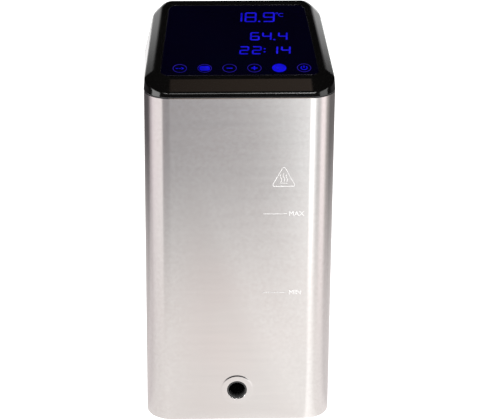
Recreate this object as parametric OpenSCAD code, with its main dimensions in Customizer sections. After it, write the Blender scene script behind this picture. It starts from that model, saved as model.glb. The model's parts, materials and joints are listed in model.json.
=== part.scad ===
// Sous vide circulator: a water heater and pump in a steel casing, with a sloping touch display on
// top and a screw clamp behind that holds it to the rim of a pot.
// The origin is at the middle of the casing's foot, on the surface it stands on. The front faces -Y.

/* [Casing] */
// Width of the casing
body_w = 115; // [105:1:138]
// Depth of the casing, front to back
body_d = 98; // [92:1:118]
// Height of the casing, without the head
body_h = 217; // [208:1:262]
// Radius of the casing's upright corners
corner_r = 16; // [12:0.5:19]
// Thickness of the casing's sheet
wall = 1.2; // [0.8:0.1:1.5]
// Thickness of the plate that closes the foot
base_t = 2.5; // [2:0.1:3.5]
// Gap round each plate that slides into the casing
plate_gap = 0.2; // [0.1:0.05:0.4]

/* [Head] */
// Slope of the display, in degrees
tilt = 15.5; // [12:0.5:16]
// Height of the crease above the casing at the front
crease_h = 3.3; // [2.8:0.1:5]
// Height of the bevel above the crease
bevel_h = 5.2; // [4.5:0.1:6.5]
// Width of the bevel, seen from above
bevel_w = 6.5; // [5:0.1:8]
// Radius of the flat's two corners at the back
flat_back_r = 5; // [3:0.5:9]
// Inward lean of the head's walls, as run over rise
lean = 0.178; // [0.1:0.002:0.2]
// Wall of the head's moulding
head_wall = 2.4; // [2:0.1:3]
// Thickness of the seal between head and casing
seal_t = 0.8; // [0.5:0.1:1.2]
// Thickness of the display glass
glass_t = 1.8; // [1.2:0.1:2.5]
// Rim left beside the glass
rim_w = 3.4; // [2.5:0.1:5]
// Rim left in front of the glass
rim_front = 2.5; // [1:0.1:3.5]
// Rim left behind the glass
rim_back = 5.2; // [4:0.1:6.5]
// Radius of the glass's corners
glass_r = 5; // [3:0.5:7]

/* [Pump] */
// Distance of the water outlet from the middle of the casing
outlet_x = -1; // [-6:0.5:0]
// Height of the water outlet
outlet_z = 21; // [20.5:0.5:26]
// Radius of the hole in the casing for the outlet
outlet_r = 6.1; // [5.5:0.1:7]
// Radius of the raised ring round the outlet
outlet_ring_r = 9.6; // [8.5:0.1:11]
// Wall of the nozzle that fills the outlet's hole
nozzle_wall = 1; // [0.8:0.1:1.5]
// Radius of the impeller's chamber
chamber_r = 20; // [18:0.5:22]
// Radius of the drive shaft
shaft_r = 2; // [1.8:0.1:2.4]
// Running clearance of each shaft, on the radius
running = 0.05; // [0.03:0.01:0.08]
// Number of impeller blades
impeller_blades = 6; // [4:1:8]

/* [Heater and sensors] */
// Height of the deck between the wet and the dry side
deck_z = 150; // [146:1:156]
// Thickness of the deck
deck_t = 3; // [2.5:0.5:4]
// Radius of the heating tube
heater_r = 3.25; // [2.8:0.05:4]
// Radius of the bend at the foot of each heating tube
heater_bend = 16; // [12:0.4:19.2]
// Height of the lower water probe's tip
probe_tip_z = 82; // [70:1:95]

/* [Fan] */
// Side of the square fan
fan_size = 40; // [36:1:42]
// Thickness of the fan
fan_t = 10; // [9:0.5:12]
// Distance of the fan from the middle of the casing
fan_x = 6; // [2:0.5:8]
// Number of fan blades
fan_blades = 7; // [5:1:9]

/* [Clamp] */
// Height of the clamp's screw
clamp_z = 138; // [134:0.5:140]
// Widest rim that the clamp takes
jaw = 24; // [16:0.5:28]
// Gap left when the clamp is screwed right in
jaw_min = 2; // [1:0.5:4]
// Radius of the clamp's screw
spindle_r = 4; // [3:0.1:4.5]
// Radius of the clamp's knob
knob_r = 15; // [13:0.5:18]
// Width of the clamp's bracket
bracket_w = 40; // [38:1:46]

/* [Cord inlet] */
// Radius of the cord's passage through its gland
cord_r = 3.6; // [3:0.1:4]
// Distance of the gland from the middle of the casing
gland_x = -33; // [-36:0.5:-30]

/* [Hidden] */
$fn = 48;

hw = body_w / 2;
hd = body_d / 2;
inner_w = body_w - 2 * wall;
inner_d = body_d - 2 * wall;
inner_r = corner_r - wall;
wall_in = hd - wall;                // inner face of the casing's back, as a distance from the axis
sink = wall / 2;                    // how far a lug reaches into the sheet that it is welded to

// Screws: a small size for boards and covers and a larger one for the clamp
screw_r = 1.25;
screw_fit = 0.05;
screw_head_r = 2.4;
screw_head_h = 1.6;
bracket_screw_r = 1.9;
bracket_head_r = 3.2;

// Lugs welded to the casing's side walls
lug_x = 9;
lug_y = 10;
lug_h = 6;
lug_at = [for (sx = [-1, 1], sy = [-1, 1])
    [sx * (hw - wall - lug_x / 2), sy * (hd - corner_r - lug_y / 2 - 1)]];
head_recess = 0.2;

// Head
crease_back = crease_h + body_d * tan(tilt);
flat_z = crease_h + bevel_h;        // height of the flat above the casing at the front edge
top_t = 4;
boss_r = 3.6;
boss_in = 14;
boss_at = [for (sx = [-1, 1], sy = [-1, 1]) [sx * (hw - boss_in), sy * (hd - boss_in)]];
tray_t = 2;
tray_drop = 4;                      // from the casing's top edge down to the tray's upper face
tray_z = body_h - tray_drop - tray_t;
flat_front = -hd + lean * crease_h + bevel_w;
flat_back = hd - lean * crease_back - bevel_w;
flat_hw_front = hw - lean * crease_h - bevel_w;
flat_hw_back = hw - lean * crease_back - bevel_w;
gasket_t = 0.5;
glass_fit = 0.25;
ledge = 4;
board_drop = 9;                     // from the flat down to the display board's upper face
board_t = 1.6;
board_w = 86;
board_notch = 0.6;                  // clearance round the head's bosses
board_post_r = 2.8;
window_front = (flat_front + rim_front) / cos(tilt) + ledge;
window_back = (flat_back - rim_back) / cos(tilt) - ledge;
board_hole_at = [for (sx = [-1, 1], y = [window_front - 1.3, window_back + board_post_r + 0.5])
    [sx * 30, y]];
digit_w = 58;
digit_x = 6;
digit_front = -21.5;
digit_back = 26.5;
pad_count = 6;
pad_pitch = 14.8;
pad_r = 3.4;
pad_x = 1.4;
pad_y = -33;

// Pump and shaft, on one axis beside the middle so that the outlet leaves the chamber at a tangent
nozzle_r = outlet_r - 0.1;
passage_r = nozzle_r - nozzle_wall;
chamber_wall = 3;
tangent_in = 1;                     // how far the outlet lies inside the tangent
pump_x = outlet_x + chamber_r - passage_r + tangent_in;
pump_y = 0;
chamber_h = 15;
chamber_z = outlet_z - chamber_h / 2 - 0.5;
pump_top = chamber_z + chamber_h + chamber_wall;
cover_t = 3;
eye_r = 8;
impeller_r = chamber_r - 3;
impeller_h = 10;
impeller_z = chamber_z + 2;
impeller_plate = 1.6;
hub_r = 5;
blade_t = 1.4;
pump_lug_r = 3.4;
pump_lug_at = [for (a = [45:90:315]) [pump_x + (chamber_r + 4.5) * cos(a),
    pump_y + (chamber_r + 4.5) * sin(a)]];
pump_screw_len = 14;
tube_r = 8;
tube_bore = 6.6;
tube_flange_r = 14;
tube_flange_t = 2;
tube_socket = 8;                    // how deep the tube stands in the pump housing
bush_r = 5;
bush_t = 6;
nozzle_flange_r = nozzle_r + 3;
nozzle_flange_t = 1.5;
nozzle_seal_t = 1;
nozzle_recess = 0.4;                // the nozzle's end stays behind the raised ring by this much
boss_proud = 0.8;
branch_wall = 2;
branch_front = -hd + wall + 11;
branch_socket = 8;

// Motor
motor_r = 14;
motor_wall = 1.2;
motor_h = 33;
standoff_h = 15;
standoff_r = 2.8;
plate_t = 2;
plate_r = 20;
standoff_ring = 17;
endplate_z = deck_z + deck_t + standoff_h;
motor_z = endplate_z + plate_t;
bearing_r = 4.5;
motor_shaft_r = 1.6;
rotor_r = 8.5;
stator_r = 9;
rotor_h = 22;
rotor_z = motor_z + 4;
coupling_r = 5;
coupling_h = 11;
coupling_z = deck_z + deck_t + 2;
seal_r = 7;
tube_screw_ring = 11;

// Heater and sensors
heater_x = [-hw + 19, -hw + 33];
heater_foot = 40;
heater_top = 8;                     // how far each tube stands above the deck
hole_gap = 0.1;
nut_r = 6;
nut_h = 4;
probe_r = 2;
probe_at = [hw - 17, 22];
probe_foot = 60;
level_r = 1.5;
level_at = [[-4, hd - 14], [9, hd - 14]];
level_step = 6;

// Boards on the dry side
power_x = -hw + wall + 10;
power_w = 74;
power_h = 50;
power_z = deck_z + deck_t + 4;
bracket_y = power_w / 2 - 4;
bracket_sheet = 1.2;
bracket_hole_up = 4;

// Fan
fan_z = body_h - fan_size / 2 - 7;
fan_bore = fan_size / 2 - 1.5;
fan_hub_r = 8;
fan_hole_in = 4;
fan_axle_r = 1;
fan_gap = 0.6;
vent_w = 3;
vent_step = 5.2;
vent_count = 7;
vent_h = 30;

// Clamp
bracket_t = 3;
pad_t = 2.5;
shoe_face_t = 2;
shoe_t = 5.5;
shoe_r = 12;
arm_t = 9;
arm_gap = 2;
arm_w = 26;
bridge_t = 9;
bridge_z = clamp_z + 20;
bracket_foot = clamp_z - 20;
nut_boss_r = 10;
pad_face = hd + bracket_t + pad_t;
shoe_y = pad_face + jaw;            // front face of the shoe's rubber with the clamp open
arm_y = shoe_y + shoe_face_t + shoe_t + arm_gap;
travel = jaw - jaw_min;
knob_h = 18;
knob_y = arm_y + arm_t + travel + 1;
neck_r = 2.5;
neck_l = 3;
ball_h = 3;
knob_flutes = 8;
flute_r = 4.2;
bracket_hole_at = [for (sx = [-1, 1], z = [clamp_z - 15, clamp_z + 7]) [sx * 16, z]];

// Cord gland
gland_z = fan_z + 1;
gland_r = 6;
gland_head_r = 9.5;
gland_head_t = 5;
gland_nose = 4;
gland_tail = 9;
gland_nut_r = 9;
gland_nut_t = 4;

// ---- shapes that several parts share ----

function edge_out(c, i) = let (d = c[(i + 1) % len(c)] - c[i]) [d[1], -d[0]] / norm(d);

// Outline round a list of corner centres, given counter-clockwise
module rounded(c, r) {
    polygon([for (i = [0:len(c) - 1]) each
        [c[i] + r * edge_out(c, i), c[(i + 1) % len(c)] + r * edge_out(c, i)]]);
    for (p = c) translate(p) circle(r = r);
}

module rounded_rect(w, d, r)
    rounded([for (s = [[-1, -1], [1, -1], [1, 1], [-1, 1]]) [s[0] * (w / 2 - r), s[1] * (d / 2 - r)]], r);

// A plate that fills the casing, less a gap all round
module casing_plate(gap, t)
    linear_extrude(t) rounded_rect(inner_w - 2 * gap, inner_d - 2 * gap, inner_r - gap);

// A round bar along +Y from the origin
module bar_y(r, l) rotate([-90, 0, 0]) cylinder(r = r, h = l);

// A tube along +Z
module tube(r_out, r_in, h) difference() {
    cylinder(r = r_out, h = h);
    translate([0, 0, -1]) cylinder(r = r_in, h = h + 2);
}

// A pan-head screw with its head on z = 0 and its shank below
module screw(r, len, head_r, head_h) {
    cylinder(r = head_r, h = head_h);
    translate([0, 0, -len]) cylinder(r = r, h = len);
}

// The head's outside, or its inside when it is drawn in by g at the walls and by top at the flat.
// Its corners are flat cones whose rims lie on the foot, on the sloping crease and on the flat.
module head_form(g, top, low) hull() for (sx = [-1, 1], sy = [-1, 1]) {
    rise = sy < 0 ? crease_h : crease_back;
    foot_r = corner_r - g;
    flat_r = max((sy < 0 ? corner_r - bevel_w : flat_back_r) - g, 1.5);
    translate([sx * (hw - corner_r), sy * (hd - corner_r), body_h + low]) rim_cone(foot_r);
    on_slope(crease_h - min(top, bevel_h / 2))
        translate([sx * (hw - corner_r - lean * rise), sy * (hd - corner_r - lean * rise), 0])
            rim_cone(foot_r);
    on_slope(flat_z - top)
        translate([sx * (hw - lean * rise - bevel_w - flat_r - g),
            sy * (hd - lean * rise - bevel_w - flat_r - g), 0]) mirror([0, 0, 1]) rim_cone(flat_r);
}

module rim_cone(r) cylinder(r1 = r, r2 = 0, h = 0.1, $fn = 32);

// Slopes its children like the display, starting from the casing's front edge raised by up
module on_slope(up)
    multmatrix([[1, 0, 0, 0], [0, 1, 0, 0], [0, tan(tilt), 1, body_h + up + hd * tan(tilt)]]) children();

// Puts something on the head's flat: its z = 0 is the flat, and its y runs up the slope
module on_flat() translate([0, 0, body_h + flat_z + hd * tan(tilt)]) rotate([tilt, 0, 0]) children();

// The glass's outline on the flat, drawn in by g
module glass_outline(g) {
    y0 = (flat_front + rim_front) / cos(tilt) + g;
    y1 = (flat_back - rim_back) / cos(tilt) - g;
    r = max(glass_r - g, 1);
    front = flat_hw_front - rim_w - g - r;
    back = flat_hw_back - rim_w - g - r;
    hull() for (s = [-1, 1]) {
        translate([s * front, y0 + r]) circle(r = r, $fn = 32);
        translate([s * back, y1 - r]) circle(r = r, $fn = 32);
    }
}

// ---- casing and foot ----

module outer_casing() color("silver") difference() {
    union() {
        difference() {
            linear_extrude(body_h) rounded_rect(body_w, body_d, corner_r);
            translate([0, 0, -1]) linear_extrude(body_h + 2) rounded_rect(inner_w, inner_d, inner_r);
        }
        translate([outlet_x, -hd - boss_proud, outlet_z]) bar_y(outlet_ring_r, boss_proud + sink);
        for (p = lug_at, z = [base_t, deck_z - lug_h, tray_z - lug_h])
            translate([p[0] - lug_x / 2 - (p[0] < 0 ? sink : 0), p[1] - lug_y / 2, z])
                cube([lug_x + sink, lug_y, lug_h]);
    }
    for (p = lug_at) {
        translate([p[0], p[1], -1]) cylinder(r = screw_r + screw_fit, h = base_t + lug_h + 2);
        for (z = [deck_z, tray_z]) translate([p[0], p[1], z - lug_h - 1])
            cylinder(r = screw_r + screw_fit, h = lug_h + 2);
    }
    translate([outlet_x, -hd - boss_proud - 1, outlet_z]) bar_y(outlet_r, boss_proud + wall + 2);
    for (i = [0:vent_count - 1])
        translate([fan_x + (i - (vent_count - 1) / 2) * vent_step, wall_in - 1, fan_z])
            rotate([-90, 0, 0]) linear_extrude(wall + 2)
                rounded_rect(vent_w, vent_h - 2 * abs(i - (vent_count - 1) / 2), vent_w / 2 - 0.01);
    for (p = fan_hole_at()) translate([p[0], wall_in - 1, p[1]]) bar_y(screw_r + screw_fit, wall + 2);
    for (p = bracket_hole_at) translate([p[0], wall_in - 1, p[1]])
        bar_y(bracket_screw_r + screw_fit, wall + 2);
    translate([gland_x, wall_in - 1, gland_z]) bar_y(gland_r + hole_gap, wall + 2);
}

function fan_hole_at() = [for (sx = [-1, 1], sz = [-1, 1])
    [fan_x + sx * (fan_size / 2 - fan_hole_in), fan_z + sz * (fan_size / 2 - fan_hole_in)]];

module base_plate() color("dimgray") difference() {
    casing_plate(plate_gap, base_t);
    for (sy = [-1, 1], i = [1:5], sx = [-1, 1])
        translate([sx * 19, sy * (i * 7 - 1), -1]) linear_extrude(base_t + 2)
            rounded_rect(30 - (i == 5 ? 8 : 0), 3, 1.49);
    for (p = lug_at) translate([p[0], p[1], 0]) {
        translate([0, 0, -1]) cylinder(r = screw_r + screw_fit, h = base_t + 2);
        translate([0, 0, -1]) cylinder(r = screw_head_r + screw_fit, h = 1 + screw_head_h + head_recess);
    }
}

module base_screws() color("silver") for (p = lug_at)
    translate([p[0], p[1], screw_head_h + head_recess]) mirror([0, 0, 1])
        screw(screw_r, lug_h, screw_head_r, screw_head_h);

// ---- head ----

module head_bezel() color([0.06, 0.055, 0.055]) difference() {
    union() {
        difference() {
            head_form(0, 0, seal_t);
            head_form(head_wall, top_t, seal_t - 1);
        }
        intersection() {
            head_form(1, 2, -tray_drop);
            for (p = boss_at) translate([p[0], p[1], tray_z + tray_t])
                cylinder(r = boss_r, h = crease_back + bevel_h + tray_drop);
        }
        for (p = board_hole_at) on_flat() translate([p[0], p[1], -board_drop])
            cylinder(r = board_post_r, h = board_drop - top_t + 1);
    }
    on_flat() translate([0, 0, -glass_t - gasket_t]) linear_extrude(10) glass_outline(-glass_fit);
    on_flat() translate([0, 0, -top_t - 5]) linear_extrude(12) glass_outline(ledge);
    for (p = boss_at) translate([p[0], p[1], tray_z + tray_t - 1])
        cylinder(r = screw_r + screw_fit, h = 9);
    for (p = board_hole_at) on_flat() translate([p[0], p[1], -board_drop - 1])
        cylinder(r = screw_r + screw_fit, h = 6);
}

module casing_gasket() color([0.05, 0.05, 0.05]) translate([0, 0, body_h]) difference() {
    linear_extrude(seal_t) rounded_rect(body_w - 0.6, body_d - 0.6, corner_r - 0.3);
    translate([0, 0, -1]) linear_extrude(seal_t + 2)
        rounded_rect(inner_w - 1, inner_d - 1, inner_r - 0.5);
}

module head_tray() color("dimgray") translate([0, 0, tray_z]) difference() {
    casing_plate(plate_gap, tray_t);
    for (p = concat(lug_at, boss_at)) translate([p[0], p[1], -1])
        cylinder(r = screw_r + screw_fit, h = tray_t + 2);
    translate([-hw + 34, 0, -1]) linear_extrude(tray_t + 2) rounded_rect(12, 20, 3);
}

module tray_screws() color("silver") for (p = lug_at)
    translate([p[0], p[1], tray_z + tray_t]) screw(screw_r, tray_t + lug_h, screw_head_r, screw_head_h);

module bezel_screws() color("silver") for (p = boss_at)
    translate([p[0], p[1], tray_z]) mirror([0, 0, 1])
        screw(screw_r, tray_t + 7, screw_head_r, screw_head_h);

module display_glass() color([0.01, 0.01, 0.06]) on_flat()
    translate([0, 0, -glass_t]) linear_extrude(glass_t) glass_outline(0);

module glass_gasket() color([0.1, 0.1, 0.1]) on_flat() translate([0, 0, -glass_t - gasket_t])
    difference() {
        linear_extrude(gasket_t) glass_outline(0);
        translate([0, 0, -1]) linear_extrude(gasket_t + 2) glass_outline(ledge - 1);
    }

module display_board() color("darkgreen") difference() {
    on_flat() translate([0, 0, -board_drop - board_t]) difference() {
        linear_extrude(board_t) translate([0, (window_front + window_back + board_post_r - 0.8) / 2])
            rounded_rect(board_w, window_back - window_front + board_post_r + 6.8, 2);
        for (p = board_hole_at) translate([p[0], p[1], -1])
            cylinder(r = screw_r + screw_fit, h = board_t + 2);
    }
    for (p = boss_at) translate([p[0], p[1], tray_z])
        cylinder(r = boss_r + board_notch, h = crease_back + flat_z + tray_drop);
}

module digit_module() color([0.9, 0.9, 0.95]) on_flat()
    translate([digit_x, (digit_front + digit_back) / 2, -board_drop])
        linear_extrude(board_drop - glass_t - gasket_t) rounded_rect(digit_w, digit_back - digit_front, 1);

module touch_pads() color("goldenrod") on_flat() for (i = [0:pad_count - 1])
    translate([pad_x + (i - (pad_count - 1) / 2) * pad_pitch, pad_y, -board_drop])
        cylinder(r = pad_r, h = board_drop - glass_t);

module display_screws() color("silver") for (p = board_hole_at) on_flat()
    translate([p[0], p[1], -board_drop - board_t]) mirror([0, 0, 1])
        screw(screw_r, board_t + 4, screw_head_r, screw_head_h);

module buzzer() color([0.1, 0.1, 0.1]) on_flat() translate([20, 14, -board_drop - board_t - 5])
    difference() {
        cylinder(r = 6, h = 5);
        translate([0, 0, -1]) cylinder(r = 1, h = 3);
    }

// ---- dry side: boards ----

// Puts something on the power board's face, from its lower front corner
module on_power() translate([power_x + board_t, -power_w / 2, power_z]) children();

module power_board() color("darkgreen") difference() {
    translate([power_x, -power_w / 2, power_z]) cube([board_t, power_w, power_h]);
    for (s = [-1, 1]) translate([power_x - 1, s * bracket_y, power_z + bracket_hole_up])
        rotate([0, 90, 0]) cylinder(r = screw_r + screw_fit, h = board_t + 2);
}

module power_components() on_power() {
    color("dodgerblue") translate([0, 10, 20]) cube([15, 19, 12]);
    color("goldenrod") translate([0, 36, 18]) cube([14, 16, 18]);
    color([0.1, 0.1, 0.1]) for (y = [14, 26]) translate([0, y, 42]) rotate([0, 90, 0])
        cylinder(r = 5, h = 18);
    color("seagreen") for (i = [0:3]) translate([0, 36 + i * 6.2, 39]) cube([9, 5.8, 9]);
}

module heat_sink() color("silver") on_power() translate([0, 14, 8]) difference() {
    cube([16, 46, 8]);
    for (i = [0:8]) translate([3, 2 + i * 5, -1]) cube([20, 2.6, 10]);
}

module board_brackets() color("silver") for (s = [-1, 1])
    translate([power_x - bracket_sheet, s * bracket_y - 4, deck_z + deck_t]) difference() {
        union() {
            cube([9, 8, bracket_sheet]);
            cube([bracket_sheet, 8, 12]);
        }
        translate([-1, 4, power_z - deck_z - deck_t + bracket_hole_up]) rotate([0, 90, 0])
            cylinder(r = screw_r + screw_fit, h = bracket_sheet + 2);
    }

module board_screws() color("silver") for (s = [-1, 1])
    translate([power_x + board_t, s * bracket_y, power_z + bracket_hole_up]) rotate([0, 90, 0])
        screw(screw_r, board_t + bracket_sheet + 1, screw_head_r, screw_head_h);

// ---- deck between wet and dry ----

module deck_holes(z0, h) {
    for (p = lug_at) translate([p[0], p[1], z0]) cylinder(r = screw_r + screw_fit, h = h);
    for (x = heater_x, s = [-1, 1]) translate([x, s * heater_bend, z0])
        cylinder(r = heater_r + hole_gap, h = h);
    translate([probe_at[0], probe_at[1], z0]) cylinder(r = probe_r + hole_gap, h = h);
    for (p = level_at) translate([p[0], p[1], z0]) cylinder(r = level_r + 1.5 + hole_gap, h = h);
    translate([pump_x, pump_y, z0]) {
        cylinder(r = seal_r, h = h);
        for (a = [90, 210, 330]) rotate([0, 0, a]) translate([tube_screw_ring, 0, 0])
            cylinder(r = screw_r + screw_fit, h = h);
        for (a = [30, 150, 270]) rotate([0, 0, a]) translate([standoff_ring, 0, 0])
            cylinder(r = screw_r + screw_fit, h = h);
    }
}

module motor_deck() color("gainsboro") difference() {
    translate([0, 0, deck_z]) casing_plate(1, deck_t);
    deck_holes(deck_z - 1, deck_t + 2);
}

module deck_seal() color([0.15, 0.15, 0.15]) translate([0, 0, deck_z]) difference() {
    casing_plate(0, deck_t);
    translate([0, 0, -1]) casing_plate(1, deck_t + 2);
}

module deck_screws() color("silver") for (p = lug_at)
    translate([p[0], p[1], deck_z + deck_t]) screw(screw_r, deck_t + lug_h, screw_head_r, screw_head_h);

// ---- motor ----

module at_motor(a, ring, z) translate([pump_x, pump_y, z]) rotate([0, 0, a])
    translate([ring, 0, 0]) children();

module motor_standoffs() color("silver") for (a = [30, 150, 270])
    at_motor(a, standoff_ring, deck_z + deck_t) difference() {
        union() {
            cylinder(r = standoff_r, h = standoff_h, $fn = 6);
            translate([0, 0, -deck_t]) cylinder(r = screw_r, h = deck_t);
        }
        translate([0, 0, standoff_h - 7]) cylinder(r = screw_r + screw_fit, h = 8);
    }

module motor_endplate() color("gray") translate([pump_x, pump_y, endplate_z]) difference() {
    cylinder(r = plate_r, h = plate_t);
    translate([0, 0, -1]) cylinder(r = bearing_r, h = plate_t + 2);
    for (a = [30, 150, 270]) rotate([0, 0, a]) translate([standoff_ring, 0, -1])
        cylinder(r = screw_r + screw_fit, h = plate_t + 2);
}

module motor_screws() color("silver") for (a = [30, 150, 270])
    at_motor(a, standoff_ring, motor_z) screw(screw_r, plate_t + 6, screw_head_r - 0.3, screw_head_h);

module motor_housing() color("darkgray") translate([pump_x, pump_y, motor_z]) difference() {
    cylinder(r = motor_r, h = motor_h);
    translate([0, 0, -1]) cylinder(r = motor_r - motor_wall, h = motor_h + 1 - plate_t);
    cylinder(r = bearing_r, h = motor_h + 1);
}

module motor_stator() color("peru") translate([pump_x, pump_y, rotor_z])
    tube(motor_r - motor_wall, stator_r, rotor_h);

module bearing() color("silver") tube(bearing_r, motor_shaft_r + running, plate_t);

module upper_bearing() translate([pump_x, pump_y, motor_z + motor_h - plate_t]) bearing();

module lower_bearing() translate([pump_x, pump_y, endplate_z]) bearing();

module motor_rotor() color("dimgray") translate([pump_x, pump_y, 0]) {
    translate([0, 0, rotor_z]) cylinder(r = rotor_r, h = rotor_h);
    translate([0, 0, coupling_z + coupling_h / 2 + 1])
        cylinder(r = motor_shaft_r, h = motor_z + motor_h - coupling_z - coupling_h / 2 + 1);
}

module shaft_coupling() color("silver") translate([pump_x, pump_y, coupling_z]) difference() {
    cylinder(r = coupling_r, h = coupling_h);
    translate([0, 0, -1]) cylinder(r = shaft_r, h = coupling_h / 2 + 1.5);
    translate([0, 0, coupling_h / 2 + 0.5]) cylinder(r = motor_shaft_r, h = coupling_h);
}

// ---- pump ----

module drive_shaft() color("silver") translate([pump_x, pump_y, impeller_z + impeller_plate])
    cylinder(r = shaft_r, h = coupling_z + coupling_h / 2 - impeller_z - impeller_plate);

module impeller() color("white") translate([pump_x, pump_y, impeller_z + impeller_h]) difference() {
    union() {
        translate([0, 0, -impeller_plate]) cylinder(r = impeller_r, h = impeller_plate);
        translate([0, 0, -impeller_h]) cylinder(r = hub_r, h = impeller_h);
        for (i = [0:impeller_blades - 1]) rotate([0, 0, i * 360 / impeller_blades])
            translate([0, hub_r - blade_t - 1, -impeller_h])
                cube([sqrt(pow(impeller_r, 2) - pow(hub_r, 2)) - 0.5, blade_t,
                    impeller_h - impeller_plate + 0.5]);
    }
    translate([0, 0, impeller_plate - impeller_h]) cylinder(r = shaft_r, h = impeller_h + 1);
}

module shaft_seal() color([0.1, 0.1, 0.1]) translate([pump_x, pump_y, deck_z])
    tube(seal_r, shaft_r + running, deck_t);

module shaft_tube() color("silver") translate([pump_x, pump_y, 0]) difference() {
    union() {
        translate([0, 0, pump_top]) cylinder(r = tube_r, h = deck_z - pump_top);
        translate([0, 0, deck_z - tube_flange_t]) cylinder(r = tube_flange_r, h = tube_flange_t);
    }
    translate([0, 0, pump_top - 1]) cylinder(r = tube_bore, h = deck_z - pump_top + 2);
    for (a = [90, 210, 330]) rotate([0, 0, a]) translate([tube_screw_ring, 0, deck_z - tube_flange_t - 1])
        cylinder(r = screw_r + screw_fit, h = tube_flange_t + 2);
}

module tube_screws() color("silver") for (a = [90, 210, 330])
    at_motor(a, tube_screw_ring, deck_z + deck_t)
        screw(screw_r, deck_t + tube_flange_t + 1, screw_head_r - 0.2, screw_head_h);

module shaft_bush() color("ivory") translate([pump_x, pump_y, pump_top - chamber_wall])
    tube(bush_r, shaft_r + running, bush_t);

module pump_housing() color([0.2, 0.2, 0.22]) difference() {
    union() {
        translate([pump_x, pump_y, chamber_z]) {
            cylinder(r = chamber_r + chamber_wall, h = chamber_h + chamber_wall);
            cylinder(r = tube_r + 3, h = pump_top + tube_socket - chamber_z);
        }
        for (p = pump_lug_at) translate([p[0], p[1], chamber_z])
            cylinder(r = pump_lug_r, h = chamber_h + chamber_wall);
        translate([outlet_x, branch_front, outlet_z]) bar_y(nozzle_r + branch_wall, -branch_front);
    }
    translate([pump_x, pump_y, chamber_z - 1]) {
        cylinder(r = chamber_r, h = chamber_h + 1);
        cylinder(r = bush_r, h = chamber_h + chamber_wall + 2);
        translate([0, 0, pump_top - chamber_z + 1]) cylinder(r = tube_r + screw_fit, h = tube_socket + 1);
    }
    for (p = pump_lug_at) translate([p[0], p[1], chamber_z - 1])
        cylinder(r = screw_r + screw_fit, h = pump_screw_len);
    translate([outlet_x, branch_front - 1, outlet_z]) bar_y(nozzle_r + screw_fit, branch_socket + 1);
    translate([outlet_x, branch_front, outlet_z]) bar_y(passage_r + 0.5, -branch_front);
}

module pump_cover() color([0.2, 0.2, 0.22]) translate([0, 0, chamber_z - cover_t]) difference() {
    union() {
        translate([pump_x, pump_y, 0]) cylinder(r = chamber_r + chamber_wall, h = cover_t);
        for (p = pump_lug_at) translate([p[0], p[1], 0]) cylinder(r = pump_lug_r, h = cover_t);
    }
    translate([pump_x, pump_y, -1]) cylinder(r = eye_r, h = cover_t + 2);
    for (p = pump_lug_at) translate([p[0], p[1], -1]) cylinder(r = screw_r + screw_fit, h = cover_t + 2);
}

module pump_screws() color("silver") for (p = pump_lug_at)
    translate([p[0], p[1], chamber_z - cover_t]) mirror([0, 0, 1])
        screw(screw_r, cover_t + pump_screw_len - 3, screw_head_r, screw_head_h);

module outlet_nozzle() color([0.08, 0.08, 0.08]) {
    front = -hd - boss_proud + nozzle_recess;
    back = branch_front + branch_socket;
    translate([outlet_x, 0, outlet_z]) difference() {
        union() {
            translate([0, front, 0]) bar_y(nozzle_r, back - front);
            translate([0, -wall_in + nozzle_seal_t, 0]) bar_y(nozzle_flange_r, nozzle_flange_t);
        }
        translate([0, front - 1, 0]) bar_y(passage_r, back - front + 2);
    }
}

module nozzle_seal() color([0.15, 0.15, 0.15]) translate([outlet_x, -wall_in, outlet_z])
    difference() {
        bar_y(nozzle_flange_r - 0.5, nozzle_seal_t);
        translate([0, -1, 0]) bar_y(nozzle_r, nozzle_seal_t + 2);
    }

// ---- heater and sensors ----

module heating_element() color("silver") for (x = heater_x) translate([x, 0, heater_foot]) {
    for (s = [-1, 1]) translate([0, s * heater_bend, 0])
        cylinder(r = heater_r, h = deck_z + deck_t + heater_top - heater_foot);
    rotate([0, 90, 0]) rotate([0, 0, -90]) rotate_extrude(angle = 180)
        translate([heater_bend, 0]) circle(r = heater_r);
}

module heater_nuts() color("goldenrod") for (x = heater_x, s = [-1, 1])
    translate([x, s * heater_bend, deck_z + deck_t]) difference() {
        cylinder(r = nut_r, h = nut_h, $fn = 6);
        translate([0, 0, -1]) cylinder(r = heater_r + screw_fit, h = nut_h + 2);
    }

module temperature_probe() color("silver") translate([probe_at[0], probe_at[1], probe_foot]) {
    cylinder(r = probe_r, h = deck_z + deck_t + 5 - probe_foot);
    translate([0, 0, deck_z + deck_t - probe_foot]) cylinder(r = 4, h = 3);
    sphere(r = probe_r);
}

module level_probes() color("silver") for (i = [0:1])
    translate([level_at[i][0], level_at[i][1], 0]) {
        translate([0, 0, probe_tip_z + i * level_step])
            cylinder(r = level_r, h = deck_z + deck_t + 8 - probe_tip_z - i * level_step);
        translate([0, 0, deck_z - 3]) cylinder(r = level_r + 1.5, h = deck_t + 6);
    }

// ---- fan ----

module at_fan(y) translate([fan_x, y, fan_z]) rotate([-90, 0, 0]) children();

module fan_frame() color([0.12, 0.12, 0.12]) at_fan(wall_in - fan_t) difference() {
    union() {
        difference() {
            linear_extrude(fan_t) rounded_rect(fan_size, fan_size, 2);
            translate([0, 0, -1]) cylinder(r = fan_bore, h = fan_t + 2);
        }
        cylinder(r = fan_hub_r, h = 1.5);
        for (a = [20, 140, 260]) rotate([0, 0, a]) translate([fan_hub_r - 1, -1.2, 0])
            cube([fan_bore - fan_hub_r + 1.3, 2.4, 1.5]);
    }
    for (sx = [-1, 1], sz = [-1, 1])
        translate([sx * (fan_size / 2 - fan_hole_in), sz * (fan_size / 2 - fan_hole_in), -1])
            cylinder(r = screw_r + screw_fit, h = fan_t + 2);
    translate([0, 0, -1]) cylinder(r = fan_axle_r + running, h = 4);
}

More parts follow.
